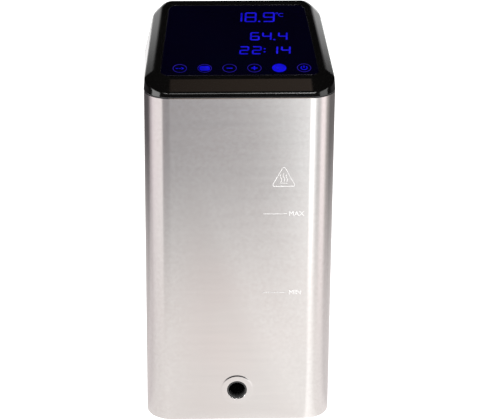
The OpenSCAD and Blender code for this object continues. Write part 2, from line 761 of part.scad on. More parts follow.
module fan_rotor() color([0.15, 0.15, 0.15]) at_fan(wall_in - fan_t + 1.5 + fan_gap) {
    rotor_t = fan_t - 1.5 - 2 * fan_gap;
    cylinder(r = fan_hub_r, h = rotor_t);
    translate([0, 0, -fan_gap - 1.2]) cylinder(r = fan_axle_r, h = fan_gap + 2);
    for (i = [0:fan_blades - 1]) rotate([0, 0, i * 360 / fan_blades])
        translate([(fan_hub_r - 1 + fan_bore - 1.2) / 2, 0, rotor_t / 2]) rotate([40, 0, 0])
            cube([fan_bore - fan_hub_r - 0.2, 7, 0.9], center = true);
}

module fan_screws() color("silver") for (p = fan_hole_at())
    translate([p[0], hd, p[1]]) rotate([-90, 0, 0])
        screw(screw_r, wall + 7, screw_head_r, screw_head_h);

// ---- cord gland: the cord itself belongs to the room's wiring and is not part of this model ----

module cord_gland() color([0.08, 0.08, 0.08]) translate([gland_x, hd, gland_z]) difference() {
    union() {
        bar_y(gland_head_r, 2);
        rotate([-90, 0, 0]) cylinder(r = gland_head_r - 0.6, h = gland_head_t, $fn = 6);
        translate([0, gland_head_t, 0]) bar_y(gland_r + 0.6, gland_nose);
        translate([0, -wall - gland_tail, 0]) bar_y(gland_r, wall + gland_tail + 1);
    }
    translate([0, -wall - gland_tail - 1, 0])
        bar_y(cord_r, wall + gland_tail + gland_head_t + gland_nose + 2);
}

module gland_nut() color([0.12, 0.12, 0.12]) translate([gland_x, wall_in - gland_nut_t, gland_z])
    rotate([-90, 0, 0]) difference() {
        cylinder(r = gland_nut_r, h = gland_nut_t, $fn = 6);
        translate([0, 0, -1]) cylinder(r = gland_r + screw_fit, h = gland_nut_t + 2);
    }

// ---- clamp ----

module clamp_bracket() color([0.1, 0.1, 0.1]) difference() {
    union() {
        translate([0, hd, (bracket_foot + bridge_z + bridge_t) / 2]) rotate([-90, 0, 0])
            linear_extrude(bracket_t)
                rounded_rect(bracket_w, bridge_z + bridge_t - bracket_foot, 4);
        translate([-arm_w / 2, hd + 1, bridge_z])
            cube([arm_w, arm_y + arm_t - hd - 1, bridge_t]);
        translate([-arm_w / 2, arm_y, clamp_z]) cube([arm_w, arm_t, bridge_z + bridge_t - clamp_z]);
        translate([0, arm_y, clamp_z]) bar_y(arm_w / 2, arm_t);
        translate([0, arm_y, clamp_z]) bar_y(nut_boss_r, arm_t + 1);
    }
    translate([0, arm_y - 1, clamp_z]) bar_y(spindle_r + running, arm_t + 3);
    for (p = bracket_hole_at) translate([p[0], hd - 1, p[1]])
        bar_y(bracket_screw_r + screw_fit, bracket_t + 2);
}

module bracket_screws() color("silver") for (p = bracket_hole_at)
    translate([p[0], hd + bracket_t, p[1]]) rotate([-90, 0, 0])
        screw(bracket_screw_r, bracket_t + wall + 4, bracket_head_r, 2);

module rim_pad() color([0.2, 0.2, 0.2]) translate([0, hd + bracket_t, clamp_z - 1]) rotate([-90, 0, 0])
    difference() {
        linear_extrude(pad_t) rounded_rect(22, 34, 3);
        for (i = [-4:4]) translate([-20, i * 3.6 - 0.6, pad_t - 0.7]) cube([40, 1.2, 2]);
    }

module clamp_shoe() color([0.1, 0.1, 0.1]) translate([0, shoe_y + shoe_face_t, clamp_z]) difference() {
    bar_y(shoe_r, shoe_t);
    translate([0, 1, 0]) bar_y(spindle_r + 0.3, ball_h + 0.5);
    translate([0, 1, 0]) bar_y(neck_r + running, shoe_t + 1);
}

module shoe_rubber() color([0.2, 0.2, 0.2]) translate([0, shoe_y, clamp_z])
    bar_y(shoe_r - 0.5, shoe_face_t);

module clamp_spindle() color("silver") translate([0, shoe_y + shoe_face_t + 1.2, clamp_z]) {
    start = shoe_y + shoe_face_t + 1.2;
    screw_start = arm_y - 0.8 - start;
    bar_y(spindle_r, ball_h);
    bar_y(neck_r, screw_start + 1);
    translate([0, screw_start, 0]) bar_y(spindle_r, knob_y + knob_h - 5 - start - screw_start);
}

module clamp_knob() color([0.08, 0.08, 0.08]) translate([0, knob_y, clamp_z]) difference() {
    bar_y(knob_r, knob_h);
    for (i = [0:knob_flutes - 1]) rotate([0, i * 360 / knob_flutes, 0])
        translate([0, -1, knob_r + 2.2]) bar_y(flute_r, knob_h + 2);
    translate([0, -1, 0]) bar_y(spindle_r, knob_h - 4);
    translate([0, knob_h - 1.5, 0]) bar_y(knob_r - 6, 3);
}

module knob_cap() color("silver") translate([0, knob_y + knob_h - 1.5, clamp_z])
    bar_y(knob_r - 6.2, 1.2);

outer_casing();
base_plate();
base_screws();
head_bezel();
casing_gasket();
head_tray();
tray_screws();
bezel_screws();
display_glass();
glass_gasket();
display_board();
digit_module();
touch_pads();
display_screws();
buzzer();
power_board();
power_components();
heat_sink();
board_brackets();
board_screws();
motor_deck();
deck_seal();
deck_screws();
motor_standoffs();
motor_endplate();
motor_screws();
motor_housing();
motor_stator();
upper_bearing();
lower_bearing();
motor_rotor();
shaft_coupling();
drive_shaft();
impeller();
shaft_seal();
shaft_tube();
tube_screws();
shaft_bush();
pump_housing();
pump_cover();
pump_screws();
outlet_nozzle();
nozzle_seal();
heating_element();
heater_nuts();
temperature_probe();
level_probes();
fan_frame();
fan_rotor();
fan_screws();
cord_gland();
gland_nut();
clamp_bracket();
bracket_screws();
rim_pad();
clamp_shoe();
shoe_rubber();
clamp_spindle();
clamp_knob();
knob_cap();
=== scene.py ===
# %% [markdown]
# # A sous vide circulator in brushed steel, with a sloping glass display
#
# The machine heats and stirs a water bath. A steel casing hides a pump and two heating tubes, a
# glossy black head carries a touch display, and a screw clamp behind holds it all to a pot.
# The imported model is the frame: every size and place below starts from it, in metres.

# %% Load the frame
import json
from math import atan2, cos, hypot, pi, radians, sin, sqrt, tan

import bmesh
import bpy
from mathutils import Matrix, Vector

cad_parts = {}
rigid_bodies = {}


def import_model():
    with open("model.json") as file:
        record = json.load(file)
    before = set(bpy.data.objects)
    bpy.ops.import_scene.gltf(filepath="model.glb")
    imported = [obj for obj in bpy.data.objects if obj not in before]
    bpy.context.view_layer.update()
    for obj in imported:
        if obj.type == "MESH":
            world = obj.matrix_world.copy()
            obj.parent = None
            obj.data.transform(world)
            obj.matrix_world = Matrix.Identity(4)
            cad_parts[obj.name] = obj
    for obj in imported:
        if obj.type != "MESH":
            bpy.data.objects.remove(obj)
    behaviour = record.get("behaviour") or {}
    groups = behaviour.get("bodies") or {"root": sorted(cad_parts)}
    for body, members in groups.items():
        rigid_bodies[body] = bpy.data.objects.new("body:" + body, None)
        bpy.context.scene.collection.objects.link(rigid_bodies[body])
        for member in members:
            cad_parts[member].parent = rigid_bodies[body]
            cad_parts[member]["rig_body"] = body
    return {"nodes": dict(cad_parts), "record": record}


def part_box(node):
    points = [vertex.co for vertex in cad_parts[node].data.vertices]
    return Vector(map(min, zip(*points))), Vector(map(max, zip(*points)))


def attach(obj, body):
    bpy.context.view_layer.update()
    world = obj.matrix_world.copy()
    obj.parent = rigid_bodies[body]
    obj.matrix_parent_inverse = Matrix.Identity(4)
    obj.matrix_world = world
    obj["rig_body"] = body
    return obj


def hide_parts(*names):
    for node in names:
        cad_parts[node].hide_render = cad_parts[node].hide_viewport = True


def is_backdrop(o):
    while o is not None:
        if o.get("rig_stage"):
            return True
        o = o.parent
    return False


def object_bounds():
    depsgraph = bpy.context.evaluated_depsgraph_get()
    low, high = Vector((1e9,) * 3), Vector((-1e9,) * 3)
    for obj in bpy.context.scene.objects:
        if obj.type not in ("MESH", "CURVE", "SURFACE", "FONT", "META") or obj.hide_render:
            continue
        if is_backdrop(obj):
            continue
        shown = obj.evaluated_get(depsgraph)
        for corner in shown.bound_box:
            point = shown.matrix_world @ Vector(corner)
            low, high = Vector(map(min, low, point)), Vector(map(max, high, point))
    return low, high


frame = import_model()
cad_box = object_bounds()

MM = 0.001
HALF_W, HALF_D, CASE_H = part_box("outer_casing")[1]
QUARTER = [i * pi / 8 for i in range(5)]


def linked(name, data):
    """A new object in the scene."""
    made = bpy.data.objects.new(name, data)
    bpy.context.scene.collection.objects.link(made)
    return made


def axis_of(name, y):
    """Where a part's axis along Y crosses a depth."""
    low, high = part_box(name)
    return Vector(((low.x + high.x) / 2, y, (low.z + high.z) / 2))


print("casing", [round(v / MM, 1) for v in (2 * HALF_W, 2 * HALF_D, CASE_H)], "mm")

# %% [markdown]
# ## Camera
#
# A long lens keeps the casing's sides nearly parallel. The camera looks down by about 24 degrees,
# so that the display and the front are both seen. It could be placed with a Track To constraint;
# writing its matrix from three angles keeps the small roll exact.

# %% Camera
CAMERA_AT = Vector((-0.0396, -1.2299, 0.6691))
PITCH, YAW, ROLL = radians(23.93), radians(1.93), radians(0.366)
LENS = 160.05


def camera_turn(pitch, yaw, roll):
    """Rotation of a camera that looks down by pitch, aside by yaw and leans by roll."""
    ahead = Vector((sin(yaw) * cos(pitch), cos(yaw) * cos(pitch), -sin(pitch)))
    right = Vector((cos(yaw), -sin(yaw), 0))
    up = right.cross(ahead)
    side = cos(roll) * right + sin(roll) * up
    top = cos(roll) * up - sin(roll) * right
    return Matrix((side, top, -ahead)).transposed()


camera_data = bpy.data.cameras.new("camera")
camera_data.lens = LENS
camera_data.sensor_width = 36
camera_data.clip_start = 0.01
camera = linked("camera", camera_data)
camera.matrix_world = Matrix.Translation(CAMERA_AT) @ camera_turn(PITCH, YAW, ROLL).to_4x4()
bpy.context.scene.camera = camera
print("camera", LENS, "mm lens,", round(CAMERA_AT.length, 2), "m from the foot")

# %% [markdown]
# ## Shader nodes
#
# Every finish below is a Principled BSDF with a few nodes in front of it. Short helpers keep the
# wiring readable: one makes any node with its settings, the others wrap what is used most.

# %% Node helpers


def node(tree, kind, inputs=None, **settings):
    """A node with its properties and its unlinked inputs set; an input may be another socket."""
    made = tree.nodes.new(kind)
    for key, value in settings.items():
        setattr(made, key, value)
    for key, value in (inputs or {}).items():
        if isinstance(value, bpy.types.NodeSocket):
            tree.links.new(value, made.inputs[key])
        else:
            made.inputs[key].default_value = value
    return made


def maths(tree, operation, first, second=0.5):
    """The output of one Math node."""
    return node(tree, "ShaderNodeMath", {0: first, 1: second}, operation=operation).outputs[0]


def remap(tree, value, low, high, to_low, to_high):
    """A value carried from one range to another, clamped."""
    made = node(tree, "ShaderNodeMapRange", {"Value": value, "From Min": low, "From Max": high,
                                             "To Min": to_low, "To Max": to_high})
    return made.outputs["Result"]


def colour_mix(tree, factor, first, second):
    """The colour between two colours."""
    made = node(tree, "ShaderNodeMix", {0: factor, 6: first, 7: second}, data_type="RGBA")
    return made.outputs[2]


def ramp(tree, value, stops):
    """A colour ramp with stops of (place, colour)."""
    made = node(tree, "ShaderNodeValToRGB", {0: value})
    points = made.color_ramp.elements
    for place, colour in stops[1:-1]:
        points.new(place).color = (*colour, 1)
    points[0].position, points[0].color = stops[0][0], (*stops[0][1], 1)
    points[-1].position, points[-1].color = stops[-1][0], (*stops[-1][1], 1)
    return made.outputs["Color"]


def noise(tree, at, scale, detail):
    """The value of one noise."""
    return node(tree, "ShaderNodeTexNoise", {"Vector": at, "Scale": scale, "Detail": detail}).outputs[0]


def object_place(tree):
    """A point's place on its object."""
    return node(tree, "ShaderNodeTexCoord").outputs["Object"]


def shader_group(name, inputs, outputs):
    """A shader node group that takes numbers, with their usual values, and gives out numbers."""
    tree = bpy.data.node_groups.new(name, "ShaderNodeTree")
    for label, value in inputs.items():
        socket = tree.interface.new_socket(label, in_out="INPUT", socket_type="NodeSocketFloat")
        socket.default_value = value
    for label in outputs:
        tree.interface.new_socket(label, in_out="OUTPUT", socket_type="NodeSocketFloat")
    return tree, tree.nodes.new("NodeGroupInput").outputs, tree.nodes.new("NodeGroupOutput").inputs


print("node helpers ready")

# %% [markdown]
# ## Effects that several finishes share
#
# Brushing leaves fine level streaks, moulded parts have a slight mottle, handling polishes the
# edges and dust settles on what faces up. Each effect is a node group, so that one recipe serves
# many materials with different values. A group gives out only masks, shades and heights.

# %% Brushed grain
grain, g_in, g_out = shader_group("brushed_grain", {"Along": 30.0, "Across": 2200.0, "Patch size": 18.0},
                                  ["Streak", "Fine", "Patch"])
grain_at = object_place(grain)
stretch = node(grain, "ShaderNodeCombineXYZ", {0: g_in["Along"], 1: g_in["Along"], 2: g_in["Across"]})
streak_at = node(grain, "ShaderNodeVectorMath", {0: grain_at, 1: stretch.outputs[0]}, operation="MULTIPLY")
broad_at = node(grain, "ShaderNodeVectorMath", {0: streak_at.outputs[0], 1: (0.6, 0.6, 0.16)},
                operation="MULTIPLY")
grain.links.new(noise(grain, broad_at.outputs[0], 1.0, 2.0), g_out["Streak"])
grain.links.new(noise(grain, streak_at.outputs[0], 1.0, 3.0), g_out["Fine"])
grain.links.new(noise(grain, grain_at, g_in["Patch size"], 2.0), g_out["Patch"])
print("group", grain.name, len(grain.nodes), "nodes")

# %% Moulded mottle, worn edges and settled dust
mottle, m_in, m_out = shader_group("moulded_mottle", {"Grain size": 1500.0, "Blotch size": 40.0},
                                   ["Grain", "Blotch"])
mottle_at = object_place(mottle)
mottle.links.new(noise(mottle, mottle_at, m_in["Grain size"], 2.0), m_out["Grain"])
mottle.links.new(noise(mottle, mottle_at, m_in["Blotch size"], 4.0), m_out["Blotch"])

wear, w_in, w_out = shader_group("edge_wear", {"Reach": 0.06, "Break up": 300.0}, ["Wear"])
rubbed = noise(wear, object_place(wear), w_in["Break up"], 3.0)
point = node(wear, "ShaderNodeNewGeometry").outputs["Pointiness"]
edge = remap(wear, point, 0.5, maths(wear, "ADD", w_in["Reach"], 0.5), 0.0, 1.0)
wear.links.new(maths(wear, "MULTIPLY", edge, rubbed), w_out["Wear"])

dust, d_in, d_out = shader_group("settled_dust", {"Speck size": 900.0, "Amount": 0.1}, ["Dust"])
specks = noise(dust, object_place(dust), d_in["Speck size"], 2.0)
faces = node(dust, "ShaderNodeSeparateXYZ", {0: node(dust, "ShaderNodeNewGeometry").outputs["Normal"]})
upward = remap(dust, faces.outputs["Z"], 0.5, 1.0, 0.0, 1.0)
speck = remap(dust, specks, 0.62, 0.75, 0.0, 1.0)
settled = maths(dust, "MULTIPLY", upward, speck)
dust.links.new(maths(dust, "MULTIPLY", settled, d_in["Amount"]), d_out["Dust"])
print("groups", mottle.name, wear.name, dust.name)

# %% [markdown]
# ## Finishes
#
# Most parts are one of two families: a metal or a moulding. A function for each family takes a
# colour, a gloss and the scale of its grain. The steel of the casing, the head's gloss, the glass
# and the lit figures follow on their own, because they are what the eye rests on.

# %% Two families of finish


def new_finish(name, **sockets):
    """A material whose Principled BSDF has its plain sockets set."""
    made = bpy.data.materials.new(name)
    made.use_nodes = True
    shader = made.node_tree.nodes["Principled BSDF"]
    for key, value in sockets.items():
        shader.inputs[key.replace("_", " ")].default_value = value
    return made, made.node_tree, shader


def feed(tree, shader, **sockets):
    """Links values into a shader."""
    for key, value in sockets.items():
        tree.links.new(value, shader.inputs[key.replace("_", " ")])


def place_group(tree, group, **values):
    """A shared effect placed in a material with its own values."""
    made = node(tree, "ShaderNodeGroup", node_tree=group)
    for key, value in values.items():
        made.inputs[key.replace("_", " ")].default_value = value
    return made.outputs


def bump(tree, shader, height, distance, strength=1.0):
    """Small relief on a shader's normal."""
    made = node(tree, "ShaderNodeBump", {"Height": height, "Distance": distance, "Strength": strength})
    feed(tree, shader, Normal=made.outputs[0])


def shaded(colour, share):
    """A colour made lighter or darker."""
    return (*[min(1.0, c * share) for c in colour], 1)


def metal(name, colour, roughness, along=60.0, across=60.0, relief=0.004 * MM):
    """A bare or plated metal with grain, slight stains and brighter edges."""
    made, tree, shader = new_finish(name, Metallic=1.0)
    lines = place_group(tree, grain, Along=along, Across=across, Patch_size=60.0)
    edges = place_group(tree, wear, Reach=0.05, Break_up=400.0)
    tone = colour_mix(tree, lines["Patch"], shaded(colour, 0.86), shaded(colour, 1.1))
    feed(tree, shader, Base_Color=colour_mix(tree, edges["Wear"], tone, shaded(colour, 1.25)),
         Roughness=remap(tree, lines["Streak"], 0.3, 0.7, roughness * 0.8, roughness * 1.25))
    bump(tree, shader, lines["Fine"], relief)
    return made


def moulding(name, colour, roughness, pore=1500.0, relief=0.02 * MM, worn=1.6, dusty=0.15):
    """A moulded plastic or rubber with fine pores, rubbed edges and a little dust."""
    made, tree, shader = new_finish(name)
    skin = place_group(tree, mottle, Grain_size=pore, Blotch_size=45.0)
    edges = place_group(tree, wear, Reach=0.08, Break_up=350.0)
    settled = place_group(tree, dust, Amount=dusty)
    tone = colour_mix(tree, skin["Blotch"], shaded(colour, 0.8), shaded(colour, 1.25))
    rubbed_tone = colour_mix(tree, edges["Wear"], tone, shaded(colour, worn))
    feed(tree, shader, Base_Color=colour_mix(tree, settled["Dust"], rubbed_tone, (0.45, 0.43, 0.4, 1)),
         Roughness=remap(tree, skin["Blotch"], 0.3, 0.7, roughness * 0.85, roughness * 1.15))
    bump(tree, shader, skin["Grain"], relief, 0.6)
    return made


print("families: metal, moulding")

# %% [markdown]
# ### Brushed casing steel
#
# The sheet is brushed level, all the way round. Real brushing is thousands of fine scratches: in
# a render they are a stretched noise that moves the colour, the roughness and the normal a
# little. A warm, very faint blotch stops the big flats from looking like plain paint.

# %% Casing steel
STEEL = (0.76, 0.74, 0.73)


def casing_steel_finish():
    """Stainless sheet with level brushing."""
    made, tree, shader = new_finish("casing_steel", Metallic=1.0)
    lines = place_group(tree, grain, Along=28.0, Across=1700.0, Patch_size=14.0)
    edges = place_group(tree, wear, Reach=0.04, Break_up=500.0)
    tone = colour_mix(tree, remap(tree, lines["Patch"], 0.35, 0.65, 0.0, 1.0),
                      (STEEL[0], STEEL[1] * 0.965, STEEL[2] * 0.96, 1), (*STEEL, 1))
    light = colour_mix(tree, remap(tree, lines["Streak"], 0.3, 0.7, 0.0, 1.0), (0.965, 0.965, 0.965, 1),
                       (1, 1, 1, 1))
    brushed = node(tree, "ShaderNodeMix", {0: 1.0, 6: tone, 7: light}, data_type="RGBA",
                   blend_type="MULTIPLY").outputs[2]
    feed(tree, shader, Base_Color=colour_mix(tree, edges["Wear"], brushed, (0.85, 0.84, 0.83, 1)),
         Roughness=remap(tree, lines["Streak"], 0.3, 0.7, 0.15, 0.185))
    bump(tree, shader, lines["Fine"], 0.0012 * MM)
    return made


FINISH = {"casing_steel": casing_steel_finish()}
print("casing steel", STEEL)

# %% [markdown]
# ### Head, glass and lit figures
#
# The head is piano black: almost no colour, a low roughness and hairlines too fine to see singly.
# The glass could be clear over a black board, but then its depth would cost light and noise; a
# black surface with a faint glow of its own looks the same from outside. A lit figure is a glow
# whose colour wanders between a deep and a bright blue, as lamps behind a mask do.

# %% Gloss of the head, glass and lit figures


def head_gloss_finish():
    """Piano-black moulding with faint hairlines and dust."""
    made, tree, shader = new_finish("head_gloss", IOR=1.5)
    skin = place_group(tree, mottle, Grain_size=700.0, Blotch_size=30.0)
    settled = place_group(tree, dust, Speck_size=1400.0, Amount=0.02)
    tone = colour_mix(tree, skin["Blotch"], (0.001, 0.0009, 0.0009, 1), (0.002, 0.0019, 0.0018, 1))
    feed(tree, shader, Base_Color=colour_mix(tree, settled["Dust"], tone, (0.3, 0.3, 0.3, 1)),
         Roughness=remap(tree, skin["Blotch"], 0.3, 0.7, 0.10, 0.16))
    bump(tree, shader, skin["Blotch"], 0.01 * MM, 0.3)
    return made


def display_glass_finish():
    """Black-backed glass with a faint blue and violet glow from the lamps below it."""
    made, tree, shader = new_finish("display_glass", IOR=1.48, Base_Color=(0.0001, 0.0001, 0.0008, 1),
                                    Emission_Strength=0.75)
    skin = place_group(tree, mottle, Grain_size=60.0, Blotch_size=22.0)
    glow = ramp(tree, skin["Blotch"], [(0.3, (0.0002, 0.0, 0.0032)), (0.5, (0.0005, 0.0, 0.005)),
                                       (0.7, (0.0, 0.0005, 0.0056))])
    feed(tree, shader, Emission_Color=glow, Roughness=remap(tree, skin["Grain"], 0.3, 0.7, 0.04, 0.08))
    return made


def lit_finish(name, deep, bright):
    """A lit figure: the lamp behind it is brighter in some places than in others."""
    made, tree, shader = new_finish(name, Roughness=0.4, Emission_Strength=1.0,
                                    Base_Color=(0.0, 0.0, 0.01, 1))
    skin = place_group(tree, mottle, Grain_size=420.0, Blotch_size=160.0)
    lamp = remap(tree, skin["Blotch"], 0.35, 0.65, 0.0, 1.0)
    feed(tree, shader, Emission_Color=colour_mix(tree, lamp, (*deep, 1), (*bright, 1)))
    return made


FINISH["head_gloss"] = head_gloss_finish()
FINISH["display_glass"] = display_glass_finish()
LIT_FIGURES = lit_finish("lit_figures", (0.003, 0.001, 0.45), (0.012, 0.008, 0.8))
LIT_RINGS = lit_finish("lit_rings", (0.006, 0.002, 0.16), (0.02, 0.008, 0.32))
LIT_KEYS = lit_finish("lit_keys", (0.001, 0.0, 0.5), (0.006, 0.003, 0.85))
KEY_INK = moulding("key_ink", (0.004, 0.004, 0.06), 0.35)
print("gloss, glass and three lit finishes")

# %% Finishes of the two families
METALS = {
    "bright_steel": ((0.66, 0.65, 0.64), 0.18),
    "deck_steel": ((0.62, 0.61, 0.6), 0.3, 30.0, 900.0),
    "zinc_steel": ((0.5, 0.51, 0.53), 0.38),
    "plain_aluminium": ((0.75, 0.76, 0.77), 0.33, 900.0, 30.0),
    "spring_brass": ((0.75, 0.55, 0.24), 0.25),
    "copper_winding": ((0.55, 0.25, 0.12), 0.35, 40.0, 1800.0),
}
MOULDINGS = {
    "black_moulding": ((0.022, 0.022, 0.023), 0.42),
    "black_rubber": ((0.02, 0.02, 0.021), 0.68, 2500.0, 0.03 * MM, 1.4, 0.3),
    "circuit_board": ((0.015, 0.12, 0.045), 0.35, 400.0),
    "digit_module": ((0.75, 0.76, 0.8), 0.5),
    "component_mix": ((0.12, 0.2, 0.3), 0.45),
    "white_moulding": ((0.8, 0.8, 0.77), 0.45),
    "pump_plastic": ((0.075, 0.075, 0.08), 0.5),
    "clamp_plastic": ((0.024, 0.024, 0.026), 0.46, 1100.0, 0.035 * MM),
}
FINISH |= {name: metal(name, *values) for name, values in METALS.items()}
FINISH |= {name: moulding(name, *values) for name, values in MOULDINGS.items()}
print(len(FINISH), "finishes for the record's slots")

# %% [markdown]
# ## Shapes
#
# Sheet metal and mouldings here are stacks of outlines. Every outline of a stack has the same
# number of points, so neighbours join into neat quads: a loft. A loft whose last outline joins
# its first is a closed shell with an inside, such as a casing. Booleans then cut the openings,
# and weighted normals keep the big flats flat while round edges stay smooth.

# %% Lofts
CORNER_STEPS = 12
CORNERS = [(1, -1, -90), (1, 1, 0), (-1, 1, 90), (-1, -1, 180)]


def corner_walk(steps=CORNER_STEPS):
    """Each outline point as its corner's signs and its angle, counter-clockwise from above."""
    return [(sx, sy, radians(start + 90 * i / steps))
            for sx, sy, start in CORNERS for i in range(steps + 1)]


def rounded(half_w, half_d, radius, steps=CORNER_STEPS):
    """A rounded rectangle's points."""
    return [(sx * (half_w - radius) + radius * cos(a), sy * (half_d - radius) + radius * sin(a))
            for sx, sy, a in corner_walk(steps)]


def circle(radius, steps=48):
    """A circle's points."""
    return [(radius * cos(2 * pi * i / steps), radius * sin(2 * pi * i / steps)) for i in range(steps)]


def loft(rings, closed=False):
    """Quads through equal rings; a closed loft joins its last ring to its first, an open one is capped."""
    bm = bmesh.new()
    rows = [[bm.verts.new(p) for p in ring] for ring in rings]
    count = len(rows[0])
    uppers = rows[1:] + rows[:1] if closed else rows[1:]
    for low, high in zip(rows, uppers):
        for i in range(count):
            bm.faces.new((low[i], low[(i + 1) % count], high[(i + 1) % count], high[i]))
    if not closed:
        bm.faces.new(rows[0][::-1])
        bm.faces.new(rows[-1])
    return bm


def level_rings(steps):
    """Rings of an upright part: each step is (outline, height)."""
    return [[Vector((x, y, z)) for x, y in points] for points, z in steps]


def turned(profile, steps=64, centre=(0, 0, 0), closed=True, wave=None):
    """A part turned about an axis along Y; the profile is (radius, y), and wave shapes each radius."""
    rings = []
    for radius, y in profile:
        ring = []
        for i in range(steps):
            a = 2 * pi * i / steps
            r = wave(a, radius) if wave else radius
            ring.append(Vector((centre[0] + r * cos(a), centre[1] + y, centre[2] + r * sin(a))))
        rings.append(ring)
    return loft(rings, closed)


def prism_y(points, y0, y1, x=0.0, z=0.0):
    """A block with an outline in X and Z between two depths."""
    return loft([[Vector((x + px, y, z + pz)) for px, pz in points] for y in (y0, y1)])


def soften(path, reaches, steps=5):
    """A polyline whose inner corners are eased by curves, each starting and ending at its reach."""
    eased = [path[0]]
    for before, corner, after, reach in zip(path, path[1:], path[2:], reaches):
        into = corner + (before - corner).normalized() * min(reach, (before - corner).length * 0.45)
        out = corner + (after - corner).normalized() * min(reach, (after - corner).length * 0.45)
        for i in range(steps + 1):
            t = i / steps
            eased.append(into * (1 - t) ** 2 + corner * 2 * t * (1 - t) + out * t ** 2)
    return eased + [path[-1]]


print("lofts with", CORNER_STEPS, "steps a corner")

# %% From a shape to a piece
TREE = bpy.context.evaluated_depsgraph_get


def object_of(bm, name, merge=False):
    """An object of a shape, with its faces turned outwards."""
    if merge:
        bmesh.ops.remove_doubles(bm, verts=bm.verts, dist=0.0005 * MM)
    bmesh.ops.recalc_face_normals(bm, faces=bm.faces)
    mesh = bpy.data.meshes.new(name)
    bm.to_mesh(mesh)
    bm.free()
    return linked(name, mesh)


def baked(obj):
    """The object with its modifiers made part of its mesh."""
    bpy.context.view_layer.update()
    mesh = bpy.data.meshes.new_from_object(obj.evaluated_get(TREE()))
    obj.modifiers.clear()
    obj.data = mesh
    mesh.name = obj.name
    return obj


def combine(obj, tools, operation="DIFFERENCE"):
    """The object with other shapes cut from it or joined to it."""
    for i, tool_shape in enumerate(tools):
        tool = object_of(tool_shape, f"tool_{i}")
        modifier = obj.modifiers.new("combine", "BOOLEAN")
        modifier.operation = operation
        modifier.solver = "EXACT"
        modifier.object = tool
        baked(obj)
        bpy.data.objects.remove(tool)
    return obj


def joined(shapes):
    """Several separate shapes in one."""
    whole = bmesh.new()
    for shape in shapes:
        part = bpy.data.meshes.new("part")
        bmesh.ops.recalc_face_normals(shape, faces=shape.faces)
        shape.to_mesh(part)
        shape.free()
        whole.from_mesh(part)
        bpy.data.meshes.remove(part)
    return whole


def declare(obj, slot, replaces=(), body="root", finish=None, sharp=32):
    """Shades a piece, gives it its finish, hangs it on its body and hides the parts it replaces."""
    obj.data.shade_smooth()
    obj.data.set_sharp_from_angle(angle=radians(sharp))
    weighted = obj.modifiers.new("weighted", "WEIGHTED_NORMAL")
    weighted.keep_sharp = True
    baked(obj)
    obj.data.materials.clear()
    obj.data.materials.append(finish or FINISH[slot])
    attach(obj, body)
    if replaces:
        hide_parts(*replaces)
    print(f"{obj.name}: {len(obj.data.polygons)} faces on {body}")
    return obj


print("a shape becomes a piece when it is declared")

# %% [markdown]
# ## Casing
#
# A sheet of stainless steel, 1.2 mm thick, is bent round four corners and welded into a sleeve.
# It could be a box with a Bevel and a Solidify; a closed loft gives the same wall with the folded
# foot edge in one go. Vents, screw holes and the outlet's hole are cut afterwards. The raised
# ring round the outlet is pressed from the same sheet, so it is turned with soft slopes and
# joined to the sheet.

# %% Casing sheet
CORNER = 16 * MM
WALL = 1.2 * MM
FOLD = 0.5 * MM


def casing_sheet():
    """The sleeve, from its foot up its outside, over the top edge and down its inside."""
    def ring(inset, z):
        return rounded(HALF_W - inset, HALF_D - inset, CORNER - inset), z
    fold = [ring(FOLD * (1 - sin(a)), FOLD * (1 - cos(a))) for a in QUARTER]
    lip = [ring(0, CASE_H - 0.2 * MM), ring(0.2 * MM, CASE_H), ring(WALL, CASE_H), ring(WALL, 0)]
    return loft(level_rings(fold + lip), closed=True)


casing = object_of(casing_sheet(), "casing_sheet")
print("casing sheet", len(casing.data.polygons), "faces")

# %% Openings in the casing
OUTLET = axis_of("outlet_nozzle", -HALF_D)
OUTLET_R = 6.1 * MM
RING_R = 9.6 * MM
RING_PROUD = 0.35 * MM
fan_lo, fan_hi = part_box("fan_frame")
FAN = axis_of("fan_frame", HALF_D)
FAN_HOLE = (fan_hi.x - fan_lo.x) / 2 - 4 * MM
VENTS = 7
VENT_W = 3 * MM
VENT_STEP = 5.2 * MM
VENT_H = 30 * MM
GLAND = axis_of("cord_gland", HALF_D)
GLAND_HOLE_R = 6.1 * MM
BRACKET_HEAD_R = 3.2 * MM
BRACKET_HOLE_R = 1.95 * MM
FAN_SCREW_HOLE_R = 1.3 * MM
bracket_lo, bracket_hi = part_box("bracket_screws")
fan_screw_at = [Vector((FAN.x + sx * FAN_HOLE, HALF_D, FAN.z + sz * FAN_HOLE))
                for sx in (-1, 1) for sz in (-1, 1)]
bracket_screw_at = [Vector((x, HALF_D, z))
                    for x in (bracket_lo.x + BRACKET_HEAD_R, bracket_hi.x - BRACKET_HEAD_R)
                    for z in (bracket_lo.z + BRACKET_HEAD_R, bracket_hi.z - BRACKET_HEAD_R)]


def back_hole(at, radius):
    """A round cutter through the casing's back."""
    return prism_y(circle(radius), HALF_D - 2 * WALL, HALF_D + WALL, at.x, at.z)


def vent_cutters():
    """Upright slots with round ends, shorter towards the sides of the fan."""
    slots = []
    for i in range(VENTS):
        aside = i - (VENTS - 1) / 2
        points = rounded(VENT_W / 2, VENT_H / 2 - abs(aside) * MM, VENT_W / 2 - 0.01 * MM, 6)
        slots.append(prism_y(points, HALF_D - 2 * WALL, HALF_D + WALL, FAN.x + aside * VENT_STEP, FAN.z))
    return slots


